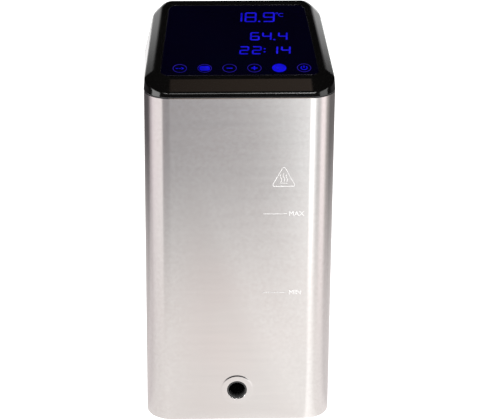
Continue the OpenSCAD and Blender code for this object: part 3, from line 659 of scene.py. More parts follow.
holes = vent_cutters()
holes += [back_hole(p, FAN_SCREW_HOLE_R) for p in fan_screw_at]
holes += [back_hole(p, BRACKET_HOLE_R) for p in bracket_screw_at]
holes.append(back_hole(GLAND, GLAND_HOLE_R))
ring_hole = circle(RING_R - 0.6 * MM, 64)
holes.append(prism_y(ring_hole, -HALF_D - WALL, -HALF_D + 2 * WALL, OUTLET.x, OUTLET.z))
combine(casing, [joined(holes)])
print("openings:", VENTS, "vents and", len(fan_screw_at) + len(bracket_screw_at) + 1, "holes behind")

# %% Pressed ring round the outlet


def pressed_ring():
    """The ring's section: in through the hole, over a round lip, out across a flat and down."""
    top, lip, slope = -RING_PROUD, 0.45 * MM, 1.5 * MM
    inner, outer = WALL - 0.2 * MM, RING_R - 0.4 * MM
    section = [(OUTLET_R, inner), (OUTLET_R, top + lip)]
    section += [(OUTLET_R + lip * (1 - cos(a)), top + lip * (1 - sin(a))) for a in QUARTER[1:]]
    section.append((outer, top))
    for t in [i / 8 for i in range(1, 9)]:
        section.append((outer + slope * t, top - (top - 0.03 * MM) * (3 * t * t - 2 * t ** 3)))
    section.append((section[-1][0], inner))
    return turned(section, 72, (OUTLET.x, -HALF_D, OUTLET.z))


combine(casing, [pressed_ring()], "UNION")
print("ring", RING_PROUD / MM, "mm proud")

# %% Lugs inside the casing
LUG_X, LUG_Y, LUG_H = 9 * MM, 10 * MM, 6 * MM
LUG_SUNK = 0.3 * MM
LUG_AT = [(sx, sy) for sx in (-1, 1) for sy in (-1, 1)]
LUG_Z = [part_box("base_plate")[1].z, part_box("motor_deck")[0].z - LUG_H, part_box("head_tray")[0].z - LUG_H]
lugs = []
for sx, sy in LUG_AT:
    x = sx * (HALF_W - WALL - LUG_X / 2 + LUG_SUNK)
    y = sy * (HALF_D - CORNER - LUG_Y / 2 - 1 * MM)
    outline = [(x + px, y + py) for px, py in rounded(LUG_X / 2 + LUG_SUNK, LUG_Y / 2, 0.4 * MM, 2)]
    lugs += [loft(level_rings([(outline, z), (outline, z + LUG_H)])) for z in LUG_Z]
combine(casing, [joined(lugs)], "UNION")
print(len(lugs), "welded lugs")
declare(casing, "casing_steel", ["outer_casing"])

# %% [markdown]
# ## Head
#
# The head is one glossy moulding: a wall that leans in a little, a crease, a bevel and a sloping
# flat with a pocket for the glass. All of its outlines lie on planes with the display's slope, so
# it is a loft too. Each point's path from foot to pocket is eased at the crease and at the flat,
# which gives the small radii that catch the light. A Bevel modifier would do less well here,
# because the edges meet at changing angles round the corners.

# %% Head moulding
TILT = radians(15.5)
SEAL = 0.8 * MM
CREASE_H = 3.3 * MM
BEVEL_H = 5.2 * MM
BEVEL_W = 6.5 * MM
LEAN = 0.178
HEAD_WALL = 2.4 * MM
TOP_T = 4 * MM
RIM_SIDE, RIM_FRONT, RIM_BACK = 3.4 * MM, 2.5 * MM, 5.2 * MM
GLASS_T = 1.8 * MM
GLASS_R = 5 * MM
FIT = 0.25 * MM
LEDGE = 4 * MM
CREASE_EASE, SIDE_EASE, POCKET_EASE = 1.1 * MM, 1.9 * MM, 0.35 * MM
CREASE_BACK = CREASE_H + 2 * HALF_D * tan(TILT)
FLAT_Z = CREASE_H + BEVEL_H
FLAT_R = {-1: CORNER - BEVEL_W, 1: 5 * MM}


def on_slope(x, y, up):
    """A point of the head at a height above the casing's front edge, carried up the slope."""
    return Vector((x, y, CASE_H + up + (HALF_D + y) * tan(TILT)))


def rise(sy):
    """Height of the crease at the front or at the back."""
    return CREASE_H if sy < 0 else CREASE_BACK


def head_points(form):
    """One outline of the head, from a function of a point's corner signs and angle."""
    return [form(sx, sy, a) for sx, sy, a in corner_walk()]


def foot_point(inset, z):
    """Outline on the casing's top edge."""
    r = CORNER - inset
    return lambda sx, sy, a: Vector((sx * (HALF_W - CORNER) + r * cos(a),
                                     sy * (HALF_D - CORNER) + r * sin(a), z))


def crease_point(inset, up):
    """Outline where the wall meets the bevel."""
    r = CORNER - inset
    return lambda sx, sy, a: on_slope(sx * (HALF_W - CORNER - LEAN * rise(sy)) + r * cos(a),
                                      sy * (HALF_D - CORNER - LEAN * rise(sy)) + r * sin(a), up)


def flat_point(inset, up):
    """Outline where the bevel meets the flat; its corners are tighter at the back."""
    def point_at(sx, sy, a):
        r = max(FLAT_R[sy] - inset, 1.5 * MM)
        edge = LEAN * rise(sy) + BEVEL_W + inset + r
        return on_slope(sx * (HALF_W - edge) + r * cos(a), sy * (HALF_D - edge) + r * sin(a), up)
    return point_at


FLAT_FRONT = -HALF_D + LEAN * CREASE_H + BEVEL_W
FLAT_BACK = HALF_D - LEAN * CREASE_BACK - BEVEL_W
FLAT_HALF_FRONT = HALF_W - LEAN * CREASE_H - BEVEL_W
FLAT_HALF_BACK = HALF_W - LEAN * CREASE_BACK - BEVEL_W
flat_turn = Matrix.Translation((0, 0, CASE_H + FLAT_Z + HALF_D * tan(TILT))) @ Matrix.Rotation(TILT, 4, "X")


def on_flat(x, y, up=0.0):
    """A point on the display's plane: y runs up the slope and up stands off it."""
    return flat_turn @ Vector((x, y, up))


def glass_outline(inset, up):
    """The glass's outline on its plane, a little narrower at the back than at the front."""
    r = max(GLASS_R - inset, 1 * MM)
    ends = {-1: ((FLAT_FRONT + RIM_FRONT) / cos(TILT) + inset + r, FLAT_HALF_FRONT - RIM_SIDE - inset - r),
            1: ((FLAT_BACK - RIM_BACK) / cos(TILT) - inset - r, FLAT_HALF_BACK - RIM_SIDE - inset - r)}
    return [on_flat(sx * ends[sy][1] + r * cos(a), ends[sy][0] + r * sin(a), up)
            for sx, sy, a in corner_walk()]


def head_moulding():
    """Foot, crease, bevel, flat, glass pocket, ledge, ceiling and inner wall, closed on itself."""
    outer = [head_points(foot_point(0.0, CASE_H + SEAL)), head_points(crease_point(0.0, CREASE_H)),
             head_points(flat_point(0.0, FLAT_Z)), glass_outline(-FIT, 0.0)]
    pocket = GLASS_T + 0.5 * MM
    outer += [glass_outline(-FIT, -pocket), glass_outline(LEDGE, -pocket), glass_outline(LEDGE, -TOP_T)]
    paths = []
    for i, (sx, sy, a) in enumerate(corner_walk()):
        reaches = (CREASE_EASE, CREASE_EASE + SIDE_EASE * abs(cos(a)), POCKET_EASE)
        paths.append(soften([ring[i] for ring in outer[:5]], reaches))
    rings = [list(ring) for ring in zip(*paths)]
    inner = [head_points(flat_point(HEAD_WALL, FLAT_Z - TOP_T)),
             head_points(crease_point(HEAD_WALL, CREASE_H - BEVEL_H / 2)),
             head_points(foot_point(HEAD_WALL, CASE_H + SEAL))]
    return loft(rings + outer[5:] + inner, closed=True)


head = object_of(head_moulding(), "head_moulding", merge=True)
declare(head, "head_gloss", ["head_bezel"], sharp=40)

# %% [markdown]
# ## Display glass
#
# The glass is a flat pane with ground corners, set flush in its pocket. Its edge is eased by
# 0.3 mm: without that thin rounding, no light would trace the pane's outline.

# %% Pane
EDGE = 0.3 * MM


def pane():
    """The glass, with an eased upper edge."""
    edge = [(EDGE * (1 - sin(a)), -EDGE * (1 - cos(a))) for a in (pi / 2, pi / 3, pi / 6, 0)]
    rings = [glass_outline(0.0, -GLASS_T)] + [glass_outline(inset, up) for inset, up in edge]
    return loft(rings)


glass = object_of(pane(), "display_pane")
declare(glass, "display_glass", ["display_glass"])

# %% [markdown]
# ## Lit figures
#
# Behind the glass, light boxes show the water's temperature, the set temperature and the time
# left. They could be text, but seven bars with round ends make the real shape of such a figure.
# Each bar is a thin capsule just above the glass, so it glows in the export as well.

# %% Bars, rings and discs on the display
LIT = (0.01 * MM, 0.05 * MM)
INK = (0.05 * MM, 0.075 * MM)


def film(points, layer=LIT):
    """A thin shape on the glass from its outline in millimetres, between two heights."""
    return loft([[on_flat(x * MM, y * MM, up) for x, y in points] for up in layer])


def bar(p, q, width, layer=LIT, steps=5):
    """A bar with round ends between two points."""
    a0 = atan2(q[1] - p[1], q[0] - p[0])
    points = []
    for centre, start in ((q, a0 - pi / 2), (p, a0 + pi / 2)):
        points += [(centre[0] + width / 2 * cos(start + pi * i / steps),
                    centre[1] + width / 2 * sin(start + pi * i / steps)) for i in range(steps + 1)]
    return film(points, layer)


def disc(x, y, radius, steps=40):
    """A round spot."""
    return film([(x + px, y + py) for px, py in circle(radius, steps)])


def band(x, y, radius, width, start=0.0, end=2 * pi, steps=48, layer=LIT):
    """A ring of a given stroke, or part of one."""
    angles = [start + (end - start) * i / steps for i in range(steps + 1)]
    inner, (low, high) = radius - width, layer
    if end - start >= 2 * pi:
        rings = [[on_flat((x + r * cos(a)) * MM, (y + r * sin(a)) * MM, up) for a in angles[:-1]]
                 for r, up in ((radius, low), (radius, high), (inner, high), (inner, low))]
        return loft(rings, closed=True)
    points = [(x + radius * cos(a), y + radius * sin(a)) for a in angles]
    points += [(x + inner * cos(a), y + inner * sin(a)) for a in angles[::-1]]
    return film(points, layer)


def lit_piece(name, shapes, finish):
    """Separate shapes on the glass as one piece of the display."""
    return declare(object_of(joined(shapes), name), "digit_module", finish=finish)


print("lit shapes stand", LIT[1] / MM, "mm off the glass")

# %% Seven-bar figures
BARS = {"a": ((0, 1), (1, 1)), "b": ((1, 1), (1, 0.5)), "c": ((1, 0.5), (1, 0)), "d": ((0, 0), (1, 0)),
        "e": ((0, 0.5), (0, 0)), "f": ((0, 1), (0, 0.5)), "g": ((0, 0.5), (1, 0.5))}
FIGURES = {"1": "bc", "2": "abged", "4": "fgbc", "6": "afgedc", "8": "abcdefg", "9": "afgbcd"}
BAR_W = 1.12
BAR_GAP = 0.5
SLANT = 0.06


def figure(sign, x, y, width, height):
    """The bars of one figure in its box; a 1 is only its two upright bars."""
    shapes = []
    inset = BAR_W / 2
    for key in FIGURES[sign]:
        ends = []
        for u, v in BARS[key]:
            across = x + inset + u * (width - BAR_W)
            along = y + inset + v * (height - BAR_W)
            ends.append(Vector((across + (along - y) * SLANT, along)))
        gap = (ends[1] - ends[0]).normalized() * BAR_GAP
        shapes.append(bar(ends[0] + gap, ends[1] - gap, BAR_W))
    return shapes


ROWS = [
    (14.6, 10.4, 7.3, [("1", -4.4), ("8", 4.3), (".", 13.4), ("9", 15.5)]),
    (-5.0, 8.6, 5.9, [("6", 7.0), ("4", 14.3), (".", 21.9), ("4", 24.0)]),
    (-19.6, 8.4, 5.9, [("2", 0.1), ("2", 7.7), (":", 15.5), ("1", 17.6), ("4", 25.2)]),
]
lamps = []
for y, height, width, signs in ROWS:
    for sign, x in signs:
        if sign == ".":
            lamps.append(disc(x, y + 0.7, 0.75, 16))
        elif sign == ":":
            lamps += [disc(x, y + height * 0.3, 0.65, 16), disc(x + 0.2, y + height * 0.68, 0.65, 16)]
        else:
            lamps += figure(sign, x, y, width, height)
lamps.append(band(24.6, 24.0, 0.85, 0.35))
lamps.append(band(27.4, 22.2, 2.0, 0.5, radians(55), radians(305), 24))
lit_piece("lit_figures", lamps, LIT_FIGURES)

# %% [markdown]
# ## Touch keys
#
# Six touch keys lie in a row under the glass: a thin ring round each, and a sign inside. Two of
# them are lit plates with dark lines, the others are only outlined. Their places follow the
# touch pads below the glass.

# %% Key rings and signs
KEYS = 6
SWAP, PLATE, LESS, MORE, DISC, POWER = range(KEYS)
KEY_STEP = 14.84
KEY_R = 4.24
KEY_X = 1.4 - KEY_STEP * (KEYS - 1) / 2
KEY_Y = -33.8
key_at = [(KEY_X + i * KEY_STEP, KEY_Y) for i in range(KEYS)]
lit_piece("key_rings", [band(x, y, KEY_R, 0.42) for i, (x, y) in enumerate(key_at) if i != DISC], LIT_RINGS)


def key_bars(rows, layer=LIT):
    """Bars of the keys' signs: each row is a key, two ends from its middle, and a width."""
    made = []
    for key, p, q, width in rows:
        x, y = key_at[key]
        made.append(bar((x + p[0], y + p[1]), (x + q[0], y + q[1]), width, layer))
    return made


plate_x, plate_y = key_at[PLATE]
plate = [(plate_x + px, plate_y + py) for px, py in rounded(3.1, 2.35, 1.5, 6)]
lit_piece("key_plates", [film(plate), disc(*key_at[DISC], KEY_R)], LIT_KEYS)

signs = key_bars([(LESS, (-1.5, 0), (1.5, 0), 0.75),
                  (MORE, (-1.5, 0), (1.5, 0), 0.95),
                  (MORE, (0, -1.5), (0, -0.55), 0.95),
                  (MORE, (0, 0.55), (0, 1.5), 0.95),
                  (SWAP, (-2.2, 0), (-1.2, 0), 0.7),
                  (SWAP, (-0.3, 0), (0.3, 0), 0.5),
                  (SWAP, (1.1, 0.8), (2.2, 0), 0.6),
                  (SWAP, (1.1, -0.8), (2.0, -0.14), 0.6)])
signs.append(band(*key_at[POWER], 2.15, 0.6, radians(130), radians(410), 24))
signs += key_bars([(POWER, (0, 0.3), (0, 2.0), 0.6)])
lit_piece("key_signs", signs, LIT_KEYS)

disc_x, disc_y = key_at[DISC]
lines = key_bars([(PLATE, (-1.7, dy), (1.7, dy), 0.3) for dy in (-0.75, 0.3)], INK)
lines.append(band(disc_x - 0.9, disc_y, 1.6, 0.3, radians(40), radians(300), 18, INK))
lines += key_bars([(DISC, (0.9, 0.9), (2.6, 0.9), 0.32), (DISC, (0.9, -0.5), (2.2, -0.5), 0.32)], INK)
lit_piece("key_ink", lines, KEY_INK)
print(KEYS, "keys at a step of", KEY_STEP, "mm")

# %% [markdown]
# ## Marks on the front
#
# The water may stand between an upper and a lower mark, and a rounded triangle with wavy lines
# says that the casing gets hot. They are pressed into the sheet as fine beads. A bead that
# follows a path is work for Geometry Nodes: the path becomes a curve, and a flat oval runs along
# it. The tree's inputs are the bead's width and height.

# %% Bead along a path


def geometry_tree(name, **inputs):
    """A geometry node tree with inputs of given kinds; returns it with its input and output nodes."""
    tree = bpy.data.node_groups.new(name, "GeometryNodeTree")
    tree.interface.new_socket("Geometry", in_out="INPUT", socket_type="NodeSocketGeometry")
    for label, kind in inputs.items():
        tree.interface.new_socket(label, in_out="INPUT", socket_type="NodeSocket" + kind)
    tree.interface.new_socket("Geometry", in_out="OUTPUT", socket_type="NodeSocketGeometry")
    return tree, tree.nodes.new("NodeGroupInput").outputs, tree.nodes.new("NodeGroupOutput")


def finish_tree(tree, geometry, material, end):
    """Realize Instances and Set Material at the end of a tree."""
    real = node(tree, "GeometryNodeRealizeInstances", {"Geometry": geometry})
    made = node(tree, "GeometryNodeSetMaterial", {"Geometry": real.outputs[0], "Material": material})
    tree.links.new(made.outputs[0], end.inputs[0])


def grown(obj, tree, **values):
    """The object's mesh after a geometry node tree, with the tree's inputs set by identifier."""
    modifier = obj.modifiers.new(tree.name, "NODES")
    modifier.node_group = tree
    sockets = {item.name: item.identifier for item in tree.interface.items_tree if item.in_out == "INPUT"}
    for key, value in values.items():
        modifier[sockets[key]] = value
    return baked(obj)


def swept(tree, curve, profile):
    """A profile carried along a curve, with closed ends."""
    return node(tree, "GeometryNodeCurveToMesh", {"Curve": curve, "Profile Curve": profile,
                                                  "Fill Caps": True}).outputs[0]


bead, b_in, b_end = geometry_tree("bead_along_path", Width="Float", Height="Float", Material="Material")
path = node(bead, "GeometryNodeMeshToCurve", {"Mesh": b_in["Geometry"]})
oval = node(bead, "GeometryNodeCurvePrimitiveCircle", {"Resolution": 12, "Radius": 0.5})
oval_size = node(bead, "ShaderNodeCombineXYZ", {0: b_in["Width"], 1: b_in["Height"], 2: 1.0})
pressed = node(bead, "GeometryNodeTransform", {"Geometry": oval.outputs[0], "Scale": oval_size.outputs[0]})
finish_tree(bead, swept(bead, path.outputs[0], pressed.outputs[0]), b_in["Material"], b_end)


def path_object(name, paths):
    """Open or closed paths, given as points with a flag, in one object."""
    bm = bmesh.new()
    for points, closed in paths:
        verts = [bm.verts.new(p) for p in points]
        for a, b in zip(verts, verts[1:] + (verts[:1] if closed else [])):
            bm.edges.new((a, b))
    mesh = bpy.data.meshes.new(name)
    bm.to_mesh(mesh)
    bm.free()
    return linked(name, mesh)


def front(x, z):
    """A point on the casing's front, from millimetres across and up."""
    return Vector((x * MM, -HALF_D, z * MM))


print("trees:", bead.name)

# %% Triangle, level lines and letters


def mark_finish(name, low, high, metallic):
    """Pale bare metal, left dull by the marking tool."""
    made, tree, shader = new_finish(name, Metallic=metallic)
    lines = place_group(tree, grain, Along=200.0, Across=900.0)
    pale = [(share, share * 0.99, share * 0.98, 1) for share in (low, high)]
    feed(tree, shader, Base_Color=colour_mix(tree, lines["Fine"], *pale),
         Roughness=remap(tree, lines["Patch"], 0.3, 0.7, 0.5, 0.6))
    return made


MARK_STEEL = mark_finish("mark_steel", 0.82, 0.96, 0.4)
FAINT_MARK = mark_finish("faint_mark_steel", 0.72, 0.82, 0.5)
HOT_X, HOT_Z = 26.5, 160.2
WAVE_STEP, WAVE_FOOT, WAVE_SWING, WAVE_POINTS = 1.75, 3.1, 0.5, 13
LINE_LEFT, LINE_RIGHT = 14.2, 28.6
MAX_Z, MIN_Z = 142.1, 89.0
LETTERS_BELOW = 1.4
LETTER_H = 4.4


def triangle_path(x, z, width, height, radius, steps=6):
    """A triangle that stands on its base, with round corners."""
    base, top = width / 2 - radius * 1.7, z + height - 2 * radius
    points = []
    for cx, cz, start in ((x + base, z + radius, -90), (x, top, 30), (x - base, z + radius, 150)):
        for i in range(steps + 1):
            a = radians(start + 120 * i / steps)
            points.append(front(cx + radius * cos(a), cz + radius * sin(a)))
    return points


def wave(i):
    """A rising wave; the middle one is the tallest."""
    x, z, tall = HOT_X + i * WAVE_STEP, HOT_Z + WAVE_FOOT, 5.4 - abs(i) * 0.7
    along = [t / (WAVE_POINTS - 1) for t in range(WAVE_POINTS)]
    return [front(x + WAVE_SWING * sin(t * 2 * pi), z + t * tall) for t in along], False


def level(z, left, right):
    """A level path."""
    return [front(left, z), front(right, z)], False


def mark(name, paths, width, height, finish=MARK_STEEL):
    """A bead along paths on the casing's front."""
    made = grown(path_object(name, paths), bead, Width=width * MM, Height=height * MM, Material=finish)
    return declare(made, "casing_steel", finish=finish)


mark("hot_mark", [(triangle_path(HOT_X, HOT_Z, 14.5, 13.3, 1.0), True)], 0.62, 0.3)
mark("hot_waves", [wave(i) for i in (-1, 0, 1)] + [level(HOT_Z + 2.1, HOT_X - 2.2, HOT_X + 2.2)], 0.5, 0.26)
mark("level_line_max", [level(MAX_Z, LINE_LEFT, LINE_RIGHT)], 0.85, 0.26)
mark("level_line_min", [level(MIN_Z, LINE_LEFT, LINE_RIGHT)], 0.85, 0.26, FAINT_MARK)


def raised_word(word, x, z):
    """Raised letters on the front: text made a mesh, then turned upright and put in place."""
    name = f"level_word_{word}"
    text = bpy.data.curves.new(word, "FONT")
    text.body = word
    text.size = LETTER_H * MM
    text.extrude = 0.08 * MM
    text.bevel_depth = 0.03 * MM
    text.bevel_resolution = 1
    flat_text = linked(name, text)
    bpy.context.view_layer.update()
    mesh = bpy.data.meshes.new_from_object(flat_text.evaluated_get(TREE()))
    bpy.data.objects.remove(flat_text)
    mesh.transform(Matrix.Translation(front(x, z)) @ Matrix.Rotation(pi / 2, 4, "X"))
    return declare(linked(name, mesh), "casing_steel", finish=FAINT_MARK)


raised_word("MAX", 29.7, MAX_Z - LETTERS_BELOW)
raised_word("MIN", 30.5, MIN_Z - LETTERS_BELOW)

# %% [markdown]
# ## Outlet nozzle
#
# Warm water leaves through a short tube behind the pressed ring. It is turned from one section,
# so a closed loft about its axis is the natural way. Its mouth is flared a little, which is what
# shows as a lighter crescent when it is seen from above.

# %% Nozzle
nozzle_lo, nozzle_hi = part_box("outlet_nozzle")
NOZZLE_R = 6.0 * MM
PASSAGE_R = 5.0 * MM


def nozzle_section():
    """The nozzle's wall, from its tail along the outside to the flared mouth and back inside."""
    mouth, tail = -0.15 * MM, nozzle_hi.y + HALF_D
    flange, flange_r = WALL + 1 * MM, NOZZLE_R + 3 * MM
    outside = [(NOZZLE_R, tail), (NOZZLE_R, flange + 1.5 * MM), (flange_r - 0.2 * MM, flange + 1.5 * MM),
               (flange_r, flange + 1.3 * MM), (flange_r, flange), (NOZZLE_R, flange)]
    lip = [(NOZZLE_R, mouth + 0.3 * MM), (NOZZLE_R - 0.1 * MM, mouth + 0.08 * MM),
           (NOZZLE_R - 0.3 * MM, mouth), (PASSAGE_R + 0.45 * MM, mouth),
           (PASSAGE_R + 0.28 * MM, mouth + 0.08 * MM), (PASSAGE_R + 0.1 * MM, mouth + 0.7 * MM)]
    return outside + lip + [(PASSAGE_R, mouth + 1.8 * MM), (PASSAGE_R, tail)]


def nozzle_finish():
    """Moulding that is dark grey at its mouth, with painted shade that darkens it to black deep inside."""
    made = moulding("nozzle_plastic", (0.03, 0.03, 0.03), 0.22, 900.0)
    tree = made.node_tree
    shader = tree.nodes["Principled BSDF"]
    at = node(tree, "ShaderNodeSeparateXYZ", {0: object_place(tree)})
    # Painted shade: the colour darkens from the mouth to black deeper inside the tube.
    deep = remap(tree, at.outputs["Y"], nozzle_lo.y + 1.2 * MM, nozzle_lo.y + 5 * MM, 0.0, 1.0)
    mouth = shader.inputs["Base Color"].links[0].from_socket
    feed(tree, shader, Base_Color=colour_mix(tree, deep, mouth, (0.003, 0.003, 0.003, 1)))
    return made


nozzle = object_of(turned(nozzle_section(), 64, (OUTLET.x, -HALF_D, OUTLET.z)), "outlet_tube")
declare(nozzle, "black_moulding", ["outlet_nozzle"], finish=nozzle_finish())

# %% [markdown]
# ## Eased copies of machined parts
#
# Many small parts have the right shape already and lack only the soft edges that moulds and
# tools leave. Such a part is copied, its loose triangles are merged, flat regions are joined
# into single faces, and a Bevel modifier eases every edge that is sharper than a limit.

# %% Eased copies


EASED = [
    ("base_plate", "foot_plate", 0.25, 2, "black_moulding"),
    ("cord_gland", "cord_gland_body", 0.35, 2, "black_moulding"),
    ("fan_frame", "fan_housing", 0.25, 2, "black_moulding"),
    ("fan_rotor", "fan_wheel", 0.12, 1, "black_moulding"),
    ("clamp_bracket", "clamp_arm", 0.9, 3, "clamp_plastic"),
    ("rim_pad", "pot_rim_pad", 0.18, 2, "black_rubber"),
    ("clamp_shoe", "clamp_foot", 0.7, 3, "clamp_plastic"),
    ("knob_cap", "knob_badge", 0.3, 2, "plain_aluminium"),
]


def eased(node_name, name, width, steps, slot):
    """A copy of a CAD part with eased edges, riding where the part rides."""
    source = frame["nodes"][node_name]
    bm = bmesh.new()
    bm.from_mesh(source.data)
    bmesh.ops.remove_doubles(bm, verts=bm.verts, dist=0.003 * MM)
    bmesh.ops.dissolve_limit(bm, angle_limit=radians(0.6), verts=bm.verts, edges=bm.edges)
    made = object_of(bm, name)
    modifier = made.modifiers.new("eased", "BEVEL")
    modifier.width = width * MM
    modifier.segments = steps
    modifier.limit_method = "ANGLE"
    modifier.angle_limit = radians(35)
    return declare(baked(made), slot, [node_name], source["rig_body"])


for row in EASED:
    eased(*row)

# %% [markdown]
# ## Screws
#
# Screws repeat, so they are grown on points. One screw is turned and gets its cross recess by a
# boolean; a Geometry Nodes tree then puts a copy on every point, stands it along an axis and
# turns it by a random angle with a fixed seed, because no two screws stop at the same angle.

# %% One screw


def screw_pattern(head_r, head_h, shank_r, length):
    """A pan-head screw with its seat on z = 0 and a cross recess in its head."""
    dome = [(0.0, -length), (shank_r * 0.6, -length), (shank_r, -length + shank_r * 0.5), (shank_r, 0.0),
            (head_r, 0.0), (head_r, head_h * 0.35)]
    dome += [(head_r * cos(a), head_h * (0.35 + 0.65 * sin(a))) for a in QUARTER[1:4]]
    rings = [[Vector((max(r, 0.02 * MM) * x, max(r, 0.02 * MM) * y, z)) for x, y in circle(1, 28)]
             for r, z in dome + [(head_r * 0.2, head_h)]]
    made = object_of(loft(rings), "screw_pattern")
    arm_w, arm_l = head_r * 0.26, head_r * 1.15
    cutters = []
    for w, l in ((arm_w, arm_l), (arm_l, arm_w)):
        outline = rounded(w / 2, l / 2, arm_w * 0.2, 2)
        cutters.append(loft([[Vector((x * share, y * share, z)) for x, y in outline]
                             for share, z in ((0.55, head_h * 0.25), (1, head_h * 1.2))]))
    return combine(made, cutters)


print("screw: turned, with a cross recess")


# %% Screws on points
stand, s_in, s_end = geometry_tree("screws_on_points", Screw="Object", Along="Vector", Seed="Int",
                                   Material="Material")
pattern = node(stand, "GeometryNodeObjectInfo", {"Object": s_in["Screw"]})
upright = node(stand, "FunctionNodeAlignRotationToVector", {"Vector": s_in["Along"]}, axis="Z")
angle = node(stand, "FunctionNodeRandomValue", {2: 0.0, 3: 2 * pi, "Seed": s_in["Seed"]})
spin = node(stand, "FunctionNodeAxisAngleToRotation", {"Axis": (0, 0, 1), "Angle": angle.outputs[1]})
turn = node(stand, "FunctionNodeRotateRotation", {"Rotation": upright.outputs[0],
                                                  "Rotate By": spin.outputs[0]}, rotation_space="LOCAL")
copies = node(stand, "GeometryNodeInstanceOnPoints", {"Points": s_in["Geometry"],
                                                      "Instance": pattern.outputs["Geometry"],
                                                      "Rotation": turn.outputs[0]})
finish_tree(stand, copies.outputs[0], s_in["Material"], s_end)


def screws(name, places, along, size, seed, node_name):
    """Screws on their seats; size is head radius, head height, shank radius and length."""
    pattern = screw_pattern(*size)
    made = path_object(name, [([place], False) for place in places])
    grown(made, stand, Screw=pattern, Along=along, Seed=seed, Material=FINISH["bright_steel"])
    bpy.data.objects.remove(pattern)
    return declare(made, "bright_steel", [node_name])


SMALL_HEAD = (2.4 * MM, 1.6 * MM, 1.25 * MM)
BIG_HEAD = (BRACKET_HEAD_R, 2 * MM, 1.9 * MM)
PLATE_T = 3 * MM
foot_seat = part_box("base_screws")[0].z + SMALL_HEAD[1]
foot_screw_at = [Vector((sx * (HALF_W - WALL - LUG_X / 2), sy * (HALF_D - CORNER - LUG_Y / 2 - 1 * MM),
                         foot_seat)) for sx, sy in LUG_AT]
screws("foot_screws", foot_screw_at, (0, 0, -1), (*SMALL_HEAD, 6 * MM), 3, "base_screws")
screws("fan_mount_screws", fan_screw_at, (0, 1, 0), (*SMALL_HEAD, 8.2 * MM), 5, "fan_screws")
screws("clamp_arm_screws", [p + Vector((0, PLATE_T, 0)) for p in bracket_screw_at], (0, 1, 0),
       (*BIG_HEAD, 8.2 * MM), 8, "bracket_screws")

# %% [markdown]
# ## Clamp screw
#
# The clamp's screw has a round thread with a 2 mm step. A helix is a rule, so it is grown by
# Geometry Nodes: a spiral curve with a small oval profile, wound on a turned core. Its tip is a
# ball that stays captive in the clamp's foot.

# %% Thread and core
spindle_lo, spindle_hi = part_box("clamp_spindle")
AXIS = axis_of("clamp_spindle", 0)
SPINDLE_R = (spindle_hi.z - spindle_lo.z) / 2
THREAD_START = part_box("clamp_bracket")[1].y - 9.6 * MM - 0.8 * MM
knob_lo, knob_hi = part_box("clamp_knob")
THREAD_STEP = 2 * MM
RIDGE = 0.42 * MM

thread, t_in, t_end = geometry_tree("wound_thread", Turns="Float", Length="Float", Radius="Float",
                                    Ridge="Float", Material="Material")
helix = node(thread, "GeometryNodeCurveSpiral", {"Resolution": 32, "Rotations": t_in["Turns"],
                                                 "Start Radius": t_in["Radius"],
                                                 "End Radius": t_in["Radius"],
                                                 "Height": t_in["Length"]})
ridge = node(thread, "GeometryNodeCurvePrimitiveCircle", {"Resolution": 8, "Radius": t_in["Ridge"]})
finish_tree(thread, swept(thread, helix.outputs[0], ridge.outputs[0]), t_in["Material"], t_end)

thread_length = knob_lo.y + 2 * MM - THREAD_START
wound = path_object("clamp_thread", [([Vector((0, 0, 0))], False)])
grown(wound, thread, Turns=thread_length / THREAD_STEP, Length=thread_length,
      Radius=SPINDLE_R - RIDGE, Ridge=RIDGE, Material=FINISH["bright_steel"])
wound.data.transform(Matrix.Translation((AXIS.x, THREAD_START, AXIS.z)) @ Matrix.Rotation(-pi / 2, 4, "X"))
declare(wound, "bright_steel", body="screw")

CORE_R = SPINDLE_R - 0.6 * MM
BALL_R, NECK_R = 3.2 * MM, 2.5 * MM
y0 = spindle_lo.y
tip = [(0.5 * MM, 0), (BALL_R, 0), (SPINDLE_R, 0.8 * MM), (SPINDLE_R, 2.3 * MM), (BALL_R, 3 * MM)]
spindle_section = tip + [(NECK_R, 3 * MM), (NECK_R, THREAD_START - y0 - 0.3 * MM),
                         (CORE_R, THREAD_START - y0), (CORE_R, spindle_hi.y - y0)]
core = object_of(turned(spindle_section, 40, (AXIS.x, y0, AXIS.z), closed=False), "clamp_spindle_core")
declare(core, "bright_steel", ["clamp_spindle"], "screw")

# %% [markdown]
# ## Knob and rubber pads
#
# The knob is a turned shape whose radius dips at eight finger flutes. The flute is a round cut,
# so the dip is worked out from a circle, and it is blended with the rim so that the ridges
# between flutes are round. The pads that grip the pot are soft rubber with fine ribs.

# %% Knob
KNOB_R = 15 * MM
FLUTES = 8
FLUTE_R = 4.2 * MM
FLUTE_AT = KNOB_R + 2.2 * MM
RIDGE_EASE = 0.7 * MM


def fluted(a, radius):
    """A radius of the knob at an angle, drawn in at the flutes."""
    if radius < KNOB_R * 0.7:
        return radius
    step = 2 * pi / FLUTES
    off = abs((a - pi / 2 + step / 2) % step - step / 2)
    aside = FLUTE_AT * sin(off)
    cut = 2 * KNOB_R
    if aside < FLUTE_R:
        cut = FLUTE_AT * cos(off) - sqrt(FLUTE_R ** 2 - aside ** 2)
    gap = 0.5 * (KNOB_R + cut - hypot(KNOB_R - cut, RIDGE_EASE))
    return radius * min(1.0, gap / KNOB_R)


def knob_section():
    """The knob's wall from the bottom of its bore, over its back edge and rim to its face."""
    h = knob_hi.y - knob_lo.y
    round_r = 1.6 * MM
    back = [(KNOB_R - round_r * (1 - sin(a)), round_r * (1 - cos(a))) for a in QUARTER]
    face = [(r, h - y) for r, y in back[::-1]]
    bore = [(4 * MM, h - 4 * MM), (4 * MM, 0.4 * MM), (4.4 * MM, 0), (8 * MM, 0)]
    dish = [(9.6 * MM, h), (9.2 * MM, h - 0.15 * MM), (9 * MM, h - 0.4 * MM), (9 * MM, h - 1.5 * MM)]
    return bore + back + face + dish


